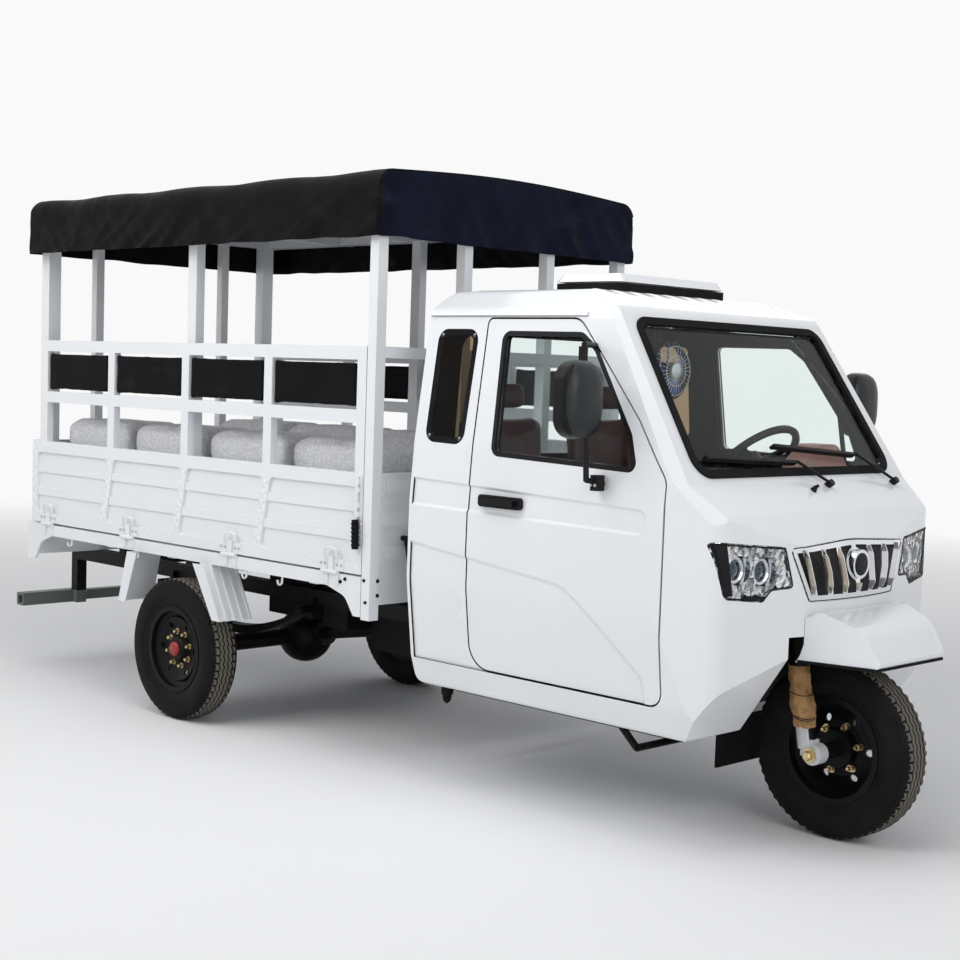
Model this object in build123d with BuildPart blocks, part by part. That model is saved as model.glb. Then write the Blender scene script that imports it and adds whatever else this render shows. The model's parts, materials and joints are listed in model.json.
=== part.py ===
"""Cargo motor tricycle: closed cab, one steered front wheel, caged load bed with bench seats.

Lengths are millimetres. The drawing frame has x = 0 at the rear axle, pointing forward,
y to the left and z = 0 on the ground. Each piece is moved along x when it is saved, so that
the finished frame has its origin on the ground below the middle of the overall length.
"""
import os
from math import acos, atan2, cos, pi, radians, sin, tan

from build123d import *

# Wheels and running gear
TYRE_RADIUS = 285.0
TYRE_WIDTH = 138.0
RIM_RADIUS = 160.0
WHEELBASE = 2690.0
REAR_OVERHANG = 1375.0
REAR_TYRE_FACE_Y = 700.0
SPINDLE_RADIUS = 25.0
RUNNING_GAP = 0.3
SEAT_GAP = 0.3
LENGTH = REAR_OVERHANG + WHEELBASE + TYRE_RADIUS
REAR_AXLE_X = REAR_OVERHANG - LENGTH / 2
REAR_WHEEL_Y = REAR_TYRE_FACE_Y - TYRE_WIDTH / 2
AXLE_Z = TYRE_RADIUS

# Steering
RAKE = 10.5
FORK_OFFSET = 28.0
FORK_LEG_Y = 135.0
FORK_LEG_RADIUS = 27.0
STEM_RADIUS = 20.0

# Load bed
BED_REAR_X = -1160.0
BED_FRONT_X = 1160.0
BED_HALF_WIDTH = 663.0
BED_RAIL_BOTTOM_Z = 651.0
BED_RAIL_TOP_Z = 700.0
BED_FLOOR_Z = 700.0
GATE_BOTTOM_Z = 708.0
GATE_PANEL_TOP_Z = 1071.0
GATE_TOP_Z = 1519.0
GATE_REAR_X = -1155.0
GATE_FRONT_X = 1111.0
LATTICE_REAR_X = -1081.0
GATE_THICKNESS = 30.0
RAIL_DEPTH = 48.0
MID_RAIL_TOP_Z = 1294.0
BAYS = 4
HINGE_Z = 704.0
HINGE_RADIUS = 8.0
HINGE_PIN_RADIUS = 4.0
HINGE_Y = BED_HALF_WIDTH + HINGE_RADIUS
HINGE_XS = (-1010.0, -370.0, 340.0, 950.0)
TAILGATE_THICKNESS = 28.0

# Cage and canopy
POST = 44.0
FRONT_POST_BOTTOM_Z = 548.0
FRONT_INNER_POST_Y = 222.0
REAR_INNER_POST_Y = 350.0
CANOPY_REAR_X = -1165.0
CANOPY_FRONT_X = 1182.0
CANOPY_HALF_WIDTH = 688.0
CANOPY_BOTTOM_Z = 1899.0
CANOPY_EAVE_Z = 2085.0
CANOPY_CROWN_Z = 2158.0
CANOPY_SKIN = 6.0
CAGE_TOP_Z = 2060.0

# Cab
CAB_REAR_X = 1340.0
CAB_WALL = 28.0
CAB_BOTTOM_Z = 350.0
SILL_TOP_Z = 445.0
ROOF_SEAM_Z = 1624.0
DOOR_REAR_X = 1622.0
DOOR_FRONT_X = 2455.0
DOOR_GAP = 6.0
WINDOW_GAP = 0.3
GLASS_SET_BACK = 9.0
QUARTER_PANE = 9.0
DOOR_SEAL_WIDTH = 16.0
QUARTER_SEAL_WIDTH = 22.0
HATCH_X0 = 1650.0
HATCH_X1 = 1950.0
HATCH_HALF_WIDTH = 300.0
HATCH_SEAL_WIDTH = 22.0
HATCH_SEAL_TOP_Z = 1752.0
HATCH_LID_Z = 1757.0
HATCH_LID_HEIGHT = 28.0
HATCH_TAPER = 40.0
HATCH_HINGE_X = HATCH_X0 - 11.0
HATCH_HINGE_Z = HATCH_LID_Z
HATCH_HINGE_YS = (-180.0, 180.0)
GLASS = 6.0
ARCH_HALF_WIDTH = 310.0
ARCH_REAR_X = 2370.0
ARCH_TOP_Z = 668.0
ARCH_CROWN_HALF_WIDTH = 250.0
ARCH_CROWN_Z = 725.0
LAMP_DEPTH = 9.0

FRONT_AXLE_X = WHEELBASE
STEER_X = FRONT_AXLE_X - FORK_OFFSET


def steer_point(height):
    """x of the raked steering axis at a height."""
    return STEER_X - (height - AXLE_Z) * tan(radians(RAKE))


def block(x0, x1, y0, y1, z0, z1, mode=Mode.ADD):
    """Box between two corners."""
    with Locations(((x0 + x1) / 2, (y0 + y1) / 2, (z0 + z1) / 2)):
        Box(abs(x1 - x0), abs(y1 - y0), abs(z1 - z0), mode=mode)


def rod(start, end, radius, mode=Mode.ADD):
    """Round bar between two points."""
    first = Vector(*start)
    axis = Vector(*end) - first
    with BuildSketch(Plane(origin=first, z_dir=axis)) as end_face:
        Circle(radius)
    extrude(end_face.sketch, amount=axis.length, mode=mode)


def rounded_face(corners):
    """Face with each corner (u, v, radius) of a closed outline rounded."""
    count = len(corners)
    starts = []
    middles = []
    ends = []
    for i, (u, v, radius) in enumerate(corners):
        here = Vector(u, v)
        before = (Vector(*corners[i - 1][:2]) - here).normalized()
        after = (Vector(*corners[(i + 1) % count][:2]) - here).normalized()
        half = acos(max(-1.0, min(1.0, before.dot(after)))) / 2
        bisector = (before + after).normalized()
        starts.append(here + before * (radius / tan(half)))
        ends.append(here + after * (radius / tan(half)))
        middles.append(here + bisector * (radius / sin(half) - radius))
    with BuildLine() as outline:
        for i in range(count):
            if corners[i][2] > 0:
                ThreePointArc(starts[i], middles[i], ends[i])
            following = starts[(i + 1) % count]
            if (following - ends[i]).length > 1e-4:
                Line(ends[i], following)
    make_face(outline.edges())


def side_plane(y):
    """Sketch plane with u = x and v = z, whose extrusions run toward -y from this y."""
    return Plane.XZ.offset(-y)


def side_prism(corners, y_from, y_to, mode=Mode.ADD, inset=0.0):
    """Outline in side view, swept from one y to a smaller y."""
    with BuildSketch(side_plane(y_from)) as outline:
        rounded_face(corners)
        if inset:
            offset(amount=-inset, kind=Kind.INTERSECTION)
    extrude(outline.sketch, amount=y_from - y_to, mode=mode)


def front_prism(corners, x_from, x_to, mode=Mode.ADD, inset=0.0):
    """Outline in front view (u = y, v = z), swept from one x to a larger x."""
    with BuildSketch(Plane.YZ.offset(x_from)) as outline:
        rounded_face(corners)
        if inset:
            offset(amount=-inset, kind=Kind.INTERSECTION)
    extrude(outline.sketch, amount=x_to - x_from, mode=mode)


def plan_prism(corners, z_from, z_to, mode=Mode.ADD, inset=0.0, taper=0.0):
    """Outline in plan view (u = x, v = y), swept from one z to a larger z, drawn in by the taper."""
    with BuildSketch(Plane.XY.offset(z_from)) as outline:
        rounded_face(corners)
        if inset:
            offset(amount=-inset, kind=Kind.INTERSECTION)
    extrude(outline.sketch, amount=z_to - z_from, mode=mode, taper=taper)


def flipped(corners):
    """Outline mirrored in u."""
    return [(-u, v, r) for u, v, r in reversed(corners)]


SAVED = []


def save(name, part):
    """Keep a piece in the finished frame under its name."""
    moved = part.moved(Location((REAR_AXLE_X, 0, 0)))
    moved.label = name
    SAVED.append((name, moved))


# Cab form: side, plan and front outlines that bound it together

CAB_SIDE = [
    (CAB_REAR_X, CAB_BOTTOM_Z, 40),
    (2520, CAB_BOTTOM_Z, 20),
    (2690, 605, 60),
    (2738, 770, 60),
    (2704, 938, 40),
    (2622, 1040, 120),
    (2512, 1124, 20),
    (2160, 1664, 70),
    (1990, 1722, 400),
    (1700, 1740, 400),
    (CAB_REAR_X, 1712, 45),
]
CAB_PLAN = [
    (CAB_REAR_X, -720, 0),
    (2415, -720, 0),
    (2415, -655, 0),
    (2622, -600, 75),
    (2758, 0, 1100),
    (2622, 600, 75),
    (2415, 655, 0),
    (2415, 720, 0),
    (CAB_REAR_X, 720, 0),
]
CAB_FRONT = [
    (-588, CAB_BOTTOM_Z, 25),
    (588, CAB_BOTTOM_Z, 25),
    (620, 450, 100),
    (652, 720, 300),
    (650, 1000, 300),
    (634, 1200, 300),
    (573, 1645, 60),
    (470, 1720, 90),
    (0, 1752, 600),
    (-470, 1720, 90),
    (-573, 1645, 60),
    (-634, 1200, 300),
    (-650, 1000, 300),
    (-652, 720, 300),
    (-620, 450, 100),
]
# Seen at 45 degrees from ahead: distance toward the front corner, height and radius
CAB_CORNER = [
    (200, 300, 0),
    (2310, 300, 0),
    (2310, 930, 0),
    (2256, 1034, 60),
    (2210, 1118, 60),
    (1932, 1634, 60),
    (1836, 1790, 0),
    (200, 1790, 0),
]


def cab_form(inset):
    """Solid inside the cab outlines, each moved in by the inset."""
    with BuildPart() as form:
        side_prism(CAB_SIDE, 760, -760, inset=inset)
        plan_prism(CAB_PLAN, 300, 1900, mode=Mode.INTERSECT, inset=inset)
        front_prism(CAB_FRONT, CAB_REAR_X - 10, 2800, mode=Mode.INTERSECT, inset=inset)
        for sign in (-1, 1):
            corner_plane = Plane(origin=(0, 0, 0), x_dir=(1, sign, 0), z_dir=(sign, -1, 0))
            with BuildSketch(corner_plane) as outline:
                rounded_face(CAB_CORNER)
                if inset:
                    offset(amount=-inset, kind=Kind.INTERSECTION)
            extrude(outline.sketch, amount=3000, both=True, mode=Mode.INTERSECT)
    return form.part


DOOR = [
    (DOOR_REAR_X, SILL_TOP_Z, 90),
    (DOOR_FRONT_X, SILL_TOP_Z, 50),
    (DOOR_FRONT_X, 1135, 60),
    (2325, 1312, 150),
    (2172, 1478, 150),
    (2032, ROOF_SEAM_Z, 70),
    (DOOR_REAR_X, ROOF_SEAM_Z, 25),
]
DOOR_WINDOW = [
    (1712, 1168, 35),
    (2340, 1150, 30),
    (2300, 1268, 60),
    (2118, 1530, 70),
    (2050, 1578, 50),
    (1697, 1580, 35),
]
QUARTER_WINDOW = [
    (1390, 1200, 45),
    (1578, 1195, 45),
    (1588, 1585, 45),
    (1394, 1585, 45),
]
REAR_WINDOW = [
    (-470, 1150, 60),
    (470, 1150, 60),
    (440, 1570, 60),
    (-440, 1570, 60),
]
LAMP = [
    (-612, 968, 12),
    (-570, 795, 25),
    (-420, 780, 20),
    (-388, 814, 20),
    (-298, 818, 15),
    (-338, 946, 15),
]
GRILLE = [
    (-238, 772, 14),
    (238, 772, 14),
    (325, 944, 18),
    (0, 960, 900),
    (-325, 944, 18),
]


def nose_form(inset):
    """Front of the cab inside its side and plan outlines, behind the lamps and the grille."""
    with BuildPart() as form:
        side_prism(CAB_SIDE, 700, -700, inset=inset)
        plan_prism(CAB_PLAN, 700, 1000, mode=Mode.INTERSECT, inset=inset)
        block(2400, 2800, -700, 700, 740, 1000, mode=Mode.INTERSECT)
    return form.part


def side_shell(inset, depth, x_from, x_to):
    """Skin along the cab's sides, from an inset inward by a depth."""
    with BuildPart() as skin:
        front_prism(CAB_FRONT, x_from, x_to, inset=inset)
        front_prism(CAB_FRONT, x_from, x_to, mode=Mode.SUBTRACT, inset=inset + depth)
    return skin.part


PRESSED_PANEL = [
    (1200, 877, 0),
    (2054, 787, 170),
    (2425, 556, 130),
    (2500, 250, 0),
    (1200, 250, 0),
]
BELT_CHANNEL = [
    (1200, 1096, 0),
    (2405, 1054, 42),
    (2385, 958, 46),
    (1200, 976, 0),
]
PRESSING_DEPTH = 7.0
PRESSING_START_Y = 654.0
# outline, slope of its edge in degrees and how far in from the start the slope runs
PRESSINGS = ((PRESSED_PANEL, 60.0, 56.0), (BELT_CHANNEL, 55.0, 20.0))
GUTTER_OUT = 8.0
GUTTER_Z = (1630.0, 1641.0)
GUTTER_FRONT_X = 2060.0
HATCH = [
    (HATCH_X0, -HATCH_HALF_WIDTH, 40),
    (HATCH_X1, -HATCH_HALF_WIDTH, 40),
    (HATCH_X1, HATCH_HALF_WIDTH, 40),
    (HATCH_X0, HATCH_HALF_WIDTH, 40),
]
FAR = 900.0

outer_form = cab_form(0.0)
inner_form = cab_form(CAB_WALL)
nose_skin_form = nose_form(0.0)
lens_form = nose_form(LAMP_DEPTH)
with BuildPart() as pressings:
    for sign in (-1, 1):
        for outline, slope, reach in PRESSINGS:
            with BuildSketch(side_plane(sign * PRESSING_START_Y)) as mouth:
                rounded_face(outline)
            extrude(mouth.sketch, amount=sign * reach, taper=slope)
    block(CAB_REAR_X + 2 * PRESSING_DEPTH, 2440, -FAR, FAR, SILL_TOP_Z, 1200, mode=Mode.INTERSECT)
    front_prism(CAB_FRONT, 1200, 2700, mode=Mode.SUBTRACT, inset=PRESSING_DEPTH)
with BuildPart() as cab_shell_build:
    add(outer_form)
    add(inner_form, mode=Mode.SUBTRACT)
    add(pressings.part, mode=Mode.SUBTRACT)
cab_shell = cab_shell_build.part
with BuildPart() as lens_shell_build:
    add(nose_skin_form)
    add(lens_form, mode=Mode.SUBTRACT)
lens_shell = lens_shell_build.part

# Windscreen plane, as a sketch plane that faces forward and up
SCREEN_LOW = Vector(2512, 0, 1124)
SCREEN_HIGH = Vector(2160, 0, 1664)
screen_up = (SCREEN_HIGH - SCREEN_LOW).normalized()
screen_normal = Vector(0, 1, 0).cross(screen_up)
screen_plane = Plane(origin=SCREEN_LOW, x_dir=(0, 1, 0), z_dir=screen_normal)
SCREEN_LENGTH = (SCREEN_HIGH - SCREEN_LOW).length
SCREEN = [
    (-552, 22, 70),
    (552, 22, 70),
    (508, SCREEN_LENGTH - 42, 60),
    (-508, SCREEN_LENGTH - 42, 60),
]
SEAL_WIDTH = 28.0
GLASS_DEPTH = 4.0


def screen_prism(inset, start, depth, mode=Mode.ADD):
    """Windscreen outline moved in by the inset, from a height over the plane inward."""
    with BuildSketch(screen_plane.offset(start)) as outline:
        rounded_face(SCREEN)
        if inset:
            offset(amount=-inset, kind=Kind.INTERSECTION)
    extrude(outline.sketch, amount=-depth, mode=mode)


with BuildPart() as cab_skin_build:
    add(cab_shell)
    screen_prism(0, 60, 140, mode=Mode.SUBTRACT)
    side_prism(DOOR, FAR, -FAR, mode=Mode.SUBTRACT)
    side_prism(QUARTER_WINDOW, FAR, -FAR, mode=Mode.SUBTRACT)
    front_prism(REAR_WINDOW, CAB_REAR_X - 20, CAB_REAR_X + 60, mode=Mode.SUBTRACT)
    front_prism(LAMP, 2450, 2800, mode=Mode.SUBTRACT)
    front_prism(flipped(LAMP), 2450, 2800, mode=Mode.SUBTRACT)
    front_prism(GRILLE, 2560, 2800, mode=Mode.SUBTRACT)
    block(ARCH_REAR_X, 2900, -ARCH_HALF_WIDTH, ARCH_HALF_WIDTH, 200, ARCH_TOP_Z, mode=Mode.SUBTRACT)
    block(
        ARCH_REAR_X,
        2900,
        -ARCH_CROWN_HALF_WIDTH,
        ARCH_CROWN_HALF_WIDTH,
        200,
        ARCH_CROWN_Z,
        mode=Mode.SUBTRACT,
    )
cab_skin = cab_skin_build.part

with BuildPart() as cab_roof:
    add(cab_skin)
    block(1000, 3000, -FAR, FAR, ROOF_SEAM_Z, 2000, mode=Mode.INTERSECT)
    plan_prism(HATCH, 1600, 1800, mode=Mode.SUBTRACT, inset=HATCH_SEAL_WIDTH)
    with BuildPart(mode=Mode.PRIVATE) as gutter:
        add(side_shell(-GUTTER_OUT, GUTTER_OUT, CAB_REAR_X + 5, GUTTER_FRONT_X))
        block(1000, 3000, -FAR, FAR, *GUTTER_Z, mode=Mode.INTERSECT)
    add(gutter.part)
save("cab_roof", cab_roof.part)

with BuildPart() as roof_hatch_seal:
    plan_prism(HATCH, 1700, HATCH_SEAL_TOP_Z)
    plan_prism(HATCH, 1690, 1800, mode=Mode.SUBTRACT, inset=HATCH_SEAL_WIDTH)
    for y in HATCH_HINGE_YS:
        for start in (-34, 16):
            rod(
                (HATCH_HINGE_X, y + start, HATCH_HINGE_Z),
                (HATCH_HINGE_X, y + start + 18, HATCH_HINGE_Z),
                HINGE_RADIUS,
            )
            block(HATCH_HINGE_X - 6, HATCH_X0 + 2, y + start, y + start + 18, 1700, HATCH_SEAL_TOP_Z)
        rod(
            (HATCH_HINGE_X, y - 20, HATCH_HINGE_Z),
            (HATCH_HINGE_X, y + 20, HATCH_HINGE_Z),
            HINGE_PIN_RADIUS,
        )
    add(outer_form, mode=Mode.SUBTRACT)
save("roof_hatch_seal", roof_hatch_seal.part)

with BuildPart() as roof_hatch:
    plan_prism(HATCH, HATCH_LID_Z, HATCH_LID_Z + HATCH_LID_HEIGHT, taper=HATCH_TAPER)
    lid_inside_z = HATCH_LID_Z + HATCH_LID_HEIGHT - 7
    plan_prism(HATCH, HATCH_LID_Z, lid_inside_z, mode=Mode.SUBTRACT, inset=9, taper=HATCH_TAPER)
    for y in HATCH_HINGE_YS:
        rod((HATCH_HINGE_X, y - 14, HATCH_HINGE_Z), (HATCH_HINGE_X, y + 14, HATCH_HINGE_Z), HINGE_RADIUS)
        block(HATCH_HINGE_X + 3, HATCH_X0 + 6, y - 14, y + 14, HATCH_LID_Z, HATCH_LID_Z + 6)
        rod(
            (HATCH_HINGE_X, y - 15, HATCH_HINGE_Z),
            (HATCH_HINGE_X, y + 15, HATCH_HINGE_Z),
            HINGE_PIN_RADIUS + RUNNING_GAP,
            mode=Mode.SUBTRACT,
        )
save("roof_hatch", roof_hatch.part)

with BuildPart() as cab_floor:
    add(cab_skin)
    block(CAB_REAR_X + CAB_WALL, ARCH_REAR_X, -FAR, FAR, 200, SILL_TOP_Z, mode=Mode.INTERSECT)
save("cab_floor", cab_floor.part)

with BuildPart() as cab_rear:
    add(cab_skin)
    block(1000, CAB_REAR_X + CAB_WALL, -FAR, FAR, 200, ROOF_SEAM_Z, mode=Mode.INTERSECT)
save("cab_rear_wall", cab_rear.part)

with BuildPart() as cab_quarters:
    add(cab_skin)
    block(CAB_REAR_X + CAB_WALL, DOOR_REAR_X + 150, -FAR, FAR, SILL_TOP_Z, ROOF_SEAM_Z, mode=Mode.INTERSECT)
save("cab_quarters", cab_quarters.part)

with BuildPart() as cab_front:
    add(cab_skin)
    block(DOOR_REAR_X + 150, 2900, -FAR, FAR, 200, ROOF_SEAM_Z, mode=Mode.INTERSECT)
    block(1000, ARCH_REAR_X, -FAR, FAR, 200, SILL_TOP_Z, mode=Mode.SUBTRACT)
save("cab_front", cab_front.part)

with BuildPart() as windscreen_seal:
    screen_prism(WINDOW_GAP, 7, CAB_WALL + 6)
    screen_prism(SEAL_WIDTH, 60, 140, mode=Mode.SUBTRACT)
    for sign in (-1, 1):
        with BuildPart(mode=Mode.PRIVATE) as border:
            add(side_shell(0.0, QUARTER_PANE, 1350, 1650))
            block(1300, 1700, 0, sign * FAR, 1100, 1700, mode=Mode.INTERSECT)
            side_prism(QUARTER_WINDOW, FAR, -FAR, mode=Mode.INTERSECT, inset=WINDOW_GAP)
            side_prism(QUARTER_WINDOW, FAR, -FAR, mode=Mode.SUBTRACT, inset=QUARTER_SEAL_WIDTH)
        add(border.part)
save("windscreen_seal", windscreen_seal.part)

with BuildPart() as windscreen:
    screen_prism(SEAL_WIDTH + WINDOW_GAP, -GLASS_DEPTH, GLASS)
save("windscreen", windscreen.part)

# Along y and up the screen: blade's right and left end, and the arm's pivot below the screen
WIPERS = (
    ((-487.0, 88.0), (-25.0, 64.0), (105.0, -20.0)),
    ((-108.0, 126.0), (340.0, 88.0), (505.0, -20.0)),
)
WIPER_LIFT = 22.0
WIPER_ROD = 5.0


def screen_point(across, along, lift):
    """Point over the windscreen plane."""
    return tuple(SCREEN_LOW + Vector(0, across, 0) + screen_up * along + screen_normal * lift)


with BuildPart() as wipers:
    for tip, heel, pivot in WIPERS:
        with BuildPart(mode=Mode.PRIVATE) as wiper:
            middle = ((tip[0] + heel[0]) / 2, (tip[1] + heel[1]) / 2)
            run = Vector(heel[0] - tip[0], heel[1] - tip[1])
            slope = atan2(run.Y, run.X) * 180 / pi
            with BuildSketch(screen_plane.offset(-GLASS_DEPTH + SEAT_GAP)) as blade:
                with Locations(Location((*middle, 0), (0, 0, slope))):
                    Rectangle(run.length, 10)
            extrude(blade.sketch, amount=GLASS_DEPTH + WIPER_LIFT - SEAT_GAP)
            rod(screen_point(*pivot, WIPER_LIFT), screen_point(*heel, WIPER_LIFT), WIPER_ROD)
            rod(screen_point(*pivot, -40), screen_point(*pivot, WIPER_LIFT + 8), 12)
            add(outer_form, mode=Mode.SUBTRACT)
        add(wiper.part)
save("wipers", wipers.part)

with BuildPart() as cab_windows:
    for sign in (-1, 1):
        with BuildPart(mode=Mode.PRIVATE) as pane:
            add(side_shell(0.0, QUARTER_PANE, 1350, 1650))
            block(1300, 1700, 0, sign * FAR, 1100, 1700, mode=Mode.INTERSECT)
            side_prism(
                QUARTER_WINDOW,
                FAR,
                -FAR,
                mode=Mode.INTERSECT,
                inset=QUARTER_SEAL_WIDTH + WINDOW_GAP,
            )
        add(pane.part)
    front_prism(REAR_WINDOW, CAB_REAR_X + 8, CAB_REAR_X + 8 + GLASS, inset=WINDOW_GAP)
save("cab_windows", cab_windows.part)

with BuildPart() as headlamp_lenses:
    for outline in (LAMP, flipped(LAMP)):
        with BuildPart(mode=Mode.PRIVATE) as lens:
            add(lens_shell)
            front_prism(outline, 2450, 2800, mode=Mode.INTERSECT, inset=WINDOW_GAP)
        add(lens.part)
save("headlamp_lenses", headlamp_lenses.part)

LAMP_BODY_DEPTH = 75.0
# y, z and radius of each reflector bowl of the right lamp, and x of its floor
LAMP_BOWLS = (
    (-410.0, 872.0, 44.0, 2616.0),
    (-510.0, 880.0, 44.0, 2593.0),
)
with BuildPart() as lamp_shell_build:
    add(lens_form)
    add(lens_form.moved(Location((-LAMP_BODY_DEPTH, 0, 0))), mode=Mode.SUBTRACT)
lamp_shell = lamp_shell_build.part
with BuildPart() as headlamp_housings:
    for sign, outline in ((1, LAMP), (-1, flipped(LAMP))):
        with BuildPart(mode=Mode.PRIVATE) as housing:
            add(lamp_shell)
            front_prism(outline, 2450, 2800, mode=Mode.INTERSECT, inset=WINDOW_GAP)
            for y, z, radius, floor_x in LAMP_BOWLS:
                rod((floor_x, sign * y, z), (2800, sign * y, z), radius, mode=Mode.SUBTRACT)
        add(housing.part)
save("headlamp_housings", headlamp_housings.part)

GRILLE_BARS = 7
GRILLE_BAR = 24.0
GRILLE_BAR_LOW_Y = 205.0
GRILLE_BAR_HIGH_Y = 270.0
GRILLE_LOW_Z = 772.0
GRILLE_HIGH_Z = 960.0


def grille_bar(share):
    """Front view of one bar, its place across the grille given from -1 to 1."""
    low_y = share * GRILLE_BAR_LOW_Y
    high_y = share * GRILLE_BAR_HIGH_Y
    half = GRILLE_BAR / 2
    return [
        (low_y - half, GRILLE_LOW_Z, 0),
        (low_y + half, GRILLE_LOW_Z, 0),
        (high_y + half, GRILLE_HIGH_Z, 0),
        (high_y - half, GRILLE_HIGH_Z, 0),
    ]


with BuildPart() as grille:
    add(lens_shell)
    front_prism(GRILLE, 2560, 2800, mode=Mode.INTERSECT, inset=WINDOW_GAP)
    with BuildPart(mode=Mode.PRIVATE) as slots:
        front_prism(GRILLE, 2500, 2850, inset=20)
        for i in range(GRILLE_BARS):
            front_prism(grille_bar(2 * i / (GRILLE_BARS - 1) - 1), 2500, 2850, mode=Mode.SUBTRACT)
        rod((2500, 0, 880), (2850, 0, 880), 52, mode=Mode.SUBTRACT)
    add(slots.part, mode=Mode.SUBTRACT)
    rod((2712, 0, 880), (2736, 0, 880), 46)
save("grille", grille.part)

with BuildPart() as grille_backing:
    add(lens_form)
    add(lens_form.moved(Location((-14, 0, 0))), mode=Mode.SUBTRACT)
    front_prism(GRILLE, 2560, 2800, mode=Mode.INTERSECT, inset=WINDOW_GAP)
    rod((2600, 0, 880), (2800, 0, 880), 47, mode=Mode.SUBTRACT)
save("grille_backing", grille_backing.part)

# Doors, each with its glass, and its handle, mirror and window seal

HANDLE_X = (1680.0, 1872.0)
HANDLE_Y = 650.4 - PRESSING_DEPTH
HANDLE_Z = (1000.0, 1040.0)
MIRROR_X = (2190.0, 2240.0)
MIRROR_Y = (690.0, 865.0)
MIRROR_Z = (1258.0, 1478.0)
MIRROR_ROD = 9.0
for label, sign in (("right", -1), ("left", 1)):
    with BuildPart() as door:
        add(cab_shell)
        side_prism(DOOR, FAR, -FAR, mode=Mode.INTERSECT, inset=DOOR_GAP)
        block(1000, 3000, 0, sign * FAR, 200, 2000, mode=Mode.INTERSECT)
        side_prism(DOOR_WINDOW, FAR, -FAR, mode=Mode.SUBTRACT)
    save("door_" + label, door.part)

    with BuildPart() as door_glass:
        add(side_shell(GLASS_SET_BACK, GLASS, 1650, 2400))
        block(1000, 3000, 0, sign * FAR, 200, 2000, mode=Mode.INTERSECT)
        side_prism(DOOR_WINDOW, FAR, -FAR, mode=Mode.INTERSECT, inset=DOOR_SEAL_WIDTH + WINDOW_GAP)
    save("door_glass_" + label, door_glass.part)

    with BuildPart() as fittings:
        block(*HANDLE_X, sign * HANDLE_Y, sign * (HANDLE_Y + 14), *HANDLE_Z)
        fillet(fittings.edges().filter_by(Axis.Y), 12)
        grip_y = sign * (HANDLE_Y + 14)
        block(HANDLE_X[0] + 20, HANDLE_X[1] - 20, grip_y, grip_y + sign * 18, 1010, 1030)
        with BuildPart(mode=Mode.PRIVATE) as mirror:
            block(*MIRROR_X, sign * MIRROR_Y[0], sign * MIRROR_Y[1], *MIRROR_Z)
            fillet(mirror.edges().filter_by(Axis.X), 55)
            fillet(mirror.edges().group_by(Axis.X)[-1], 18)
            rod((2100, sign * 570, 1536), (2150, sign * 690, 1536), MIRROR_ROD)
            rod((2150, sign * 690, 1540), (2205, sign * 720, 1120), MIRROR_ROD)
            rod((2205, sign * 720, 1124), (2205, sign * 620, 1108), MIRROR_ROD)
            add(outer_form, mode=Mode.SUBTRACT)
        add(mirror.part)
        with BuildPart(mode=Mode.PRIVATE) as door_seal:
            add(cab_shell)
            block(1000, 3000, 0, sign * FAR, 1000, 2000, mode=Mode.INTERSECT)
            side_prism(DOOR_WINDOW, FAR, -FAR, mode=Mode.INTERSECT, inset=WINDOW_GAP)
            side_prism(DOOR_WINDOW, FAR, -FAR, mode=Mode.SUBTRACT, inset=DOOR_SEAL_WIDTH)
        add(door_seal.part)
    save("door_fittings_" + label, fittings.part)

# Load bed

SKIRT_IN_Y = 651.0
REAR_SKIRT = [
    (BED_REAR_X - 30, BED_RAIL_BOTTOM_Z, 0),
    (BED_REAR_X - 30, 538, 6),
    (BED_REAR_X + 36, 538, 6),
    (BED_REAR_X + 84, 618, 70),
    (BED_REAR_X + 176, BED_RAIL_BOTTOM_Z, 0),
]
FRONT_SKIRT = [
    (BED_FRONT_X - POST - 4, BED_RAIL_BOTTOM_Z, 0),
    (BED_FRONT_X - POST - 190, BED_RAIL_BOTTOM_Z, 0),
    (BED_FRONT_X - POST - 90, 622, 60),
    (BED_FRONT_X - POST - 42, 556, 6),
    (BED_FRONT_X - POST - 4, 556, 6),
]
with BuildPart() as bed_floor:
    block(BED_REAR_X, BED_FRONT_X - POST - 4, -620, 620, 672, BED_FLOOR_Z)
    for sign in (-1, 1):
        rail_front_x = BED_FRONT_X - POST - 4
        block(BED_REAR_X, rail_front_x, sign * 620, sign * BED_HALF_WIDTH, BED_RAIL_BOTTOM_Z, BED_RAIL_TOP_Z)
        skirt_high = max(sign * SKIRT_IN_Y, sign * BED_HALF_WIDTH)
        skirt_low = min(sign * SKIRT_IN_Y, sign * BED_HALF_WIDTH)
        for skirt in (REAR_SKIRT, FRONT_SKIRT):
            side_prism(skirt, skirt_high, skirt_low)
        for hinge_x in HINGE_XS:
            for start in (-45, 15):
                rod(
                    (hinge_x + start, sign * HINGE_Y, HINGE_Z),
                    (hinge_x + start + 30, sign * HINGE_Y, HINGE_Z),
                    HINGE_RADIUS,
                )
                block(hinge_x + start, hinge_x + start + 30, sign * 660, sign * (HINGE_Y - 2), 660, 700)
            rod(
                (hinge_x - 20, sign * HINGE_Y, HINGE_Z),
                (hinge_x + 20, sign * HINGE_Y, HINGE_Z),
                HINGE_PIN_RADIUS,
            )
    block(BED_REAR_X, BED_REAR_X + 60, -648, 648, 560, 672)
    for x in (-700, -240, 240, 700, 1040):
        block(x - 25, x + 25, -540, 540, 622, 672)

with BuildPart() as headboard:
    board_half = BED_HALF_WIDTH - POST
    block(BED_FRONT_X - POST, BED_FRONT_X - POST + 30, -board_half, board_half, 600, 1071)
    for z in (760, 880, 1000):
        block(BED_FRONT_X - POST + 30, BED_FRONT_X - POST + 38, -590, 590, z, z + 50)
save("bed_headboard", headboard.part)

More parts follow.
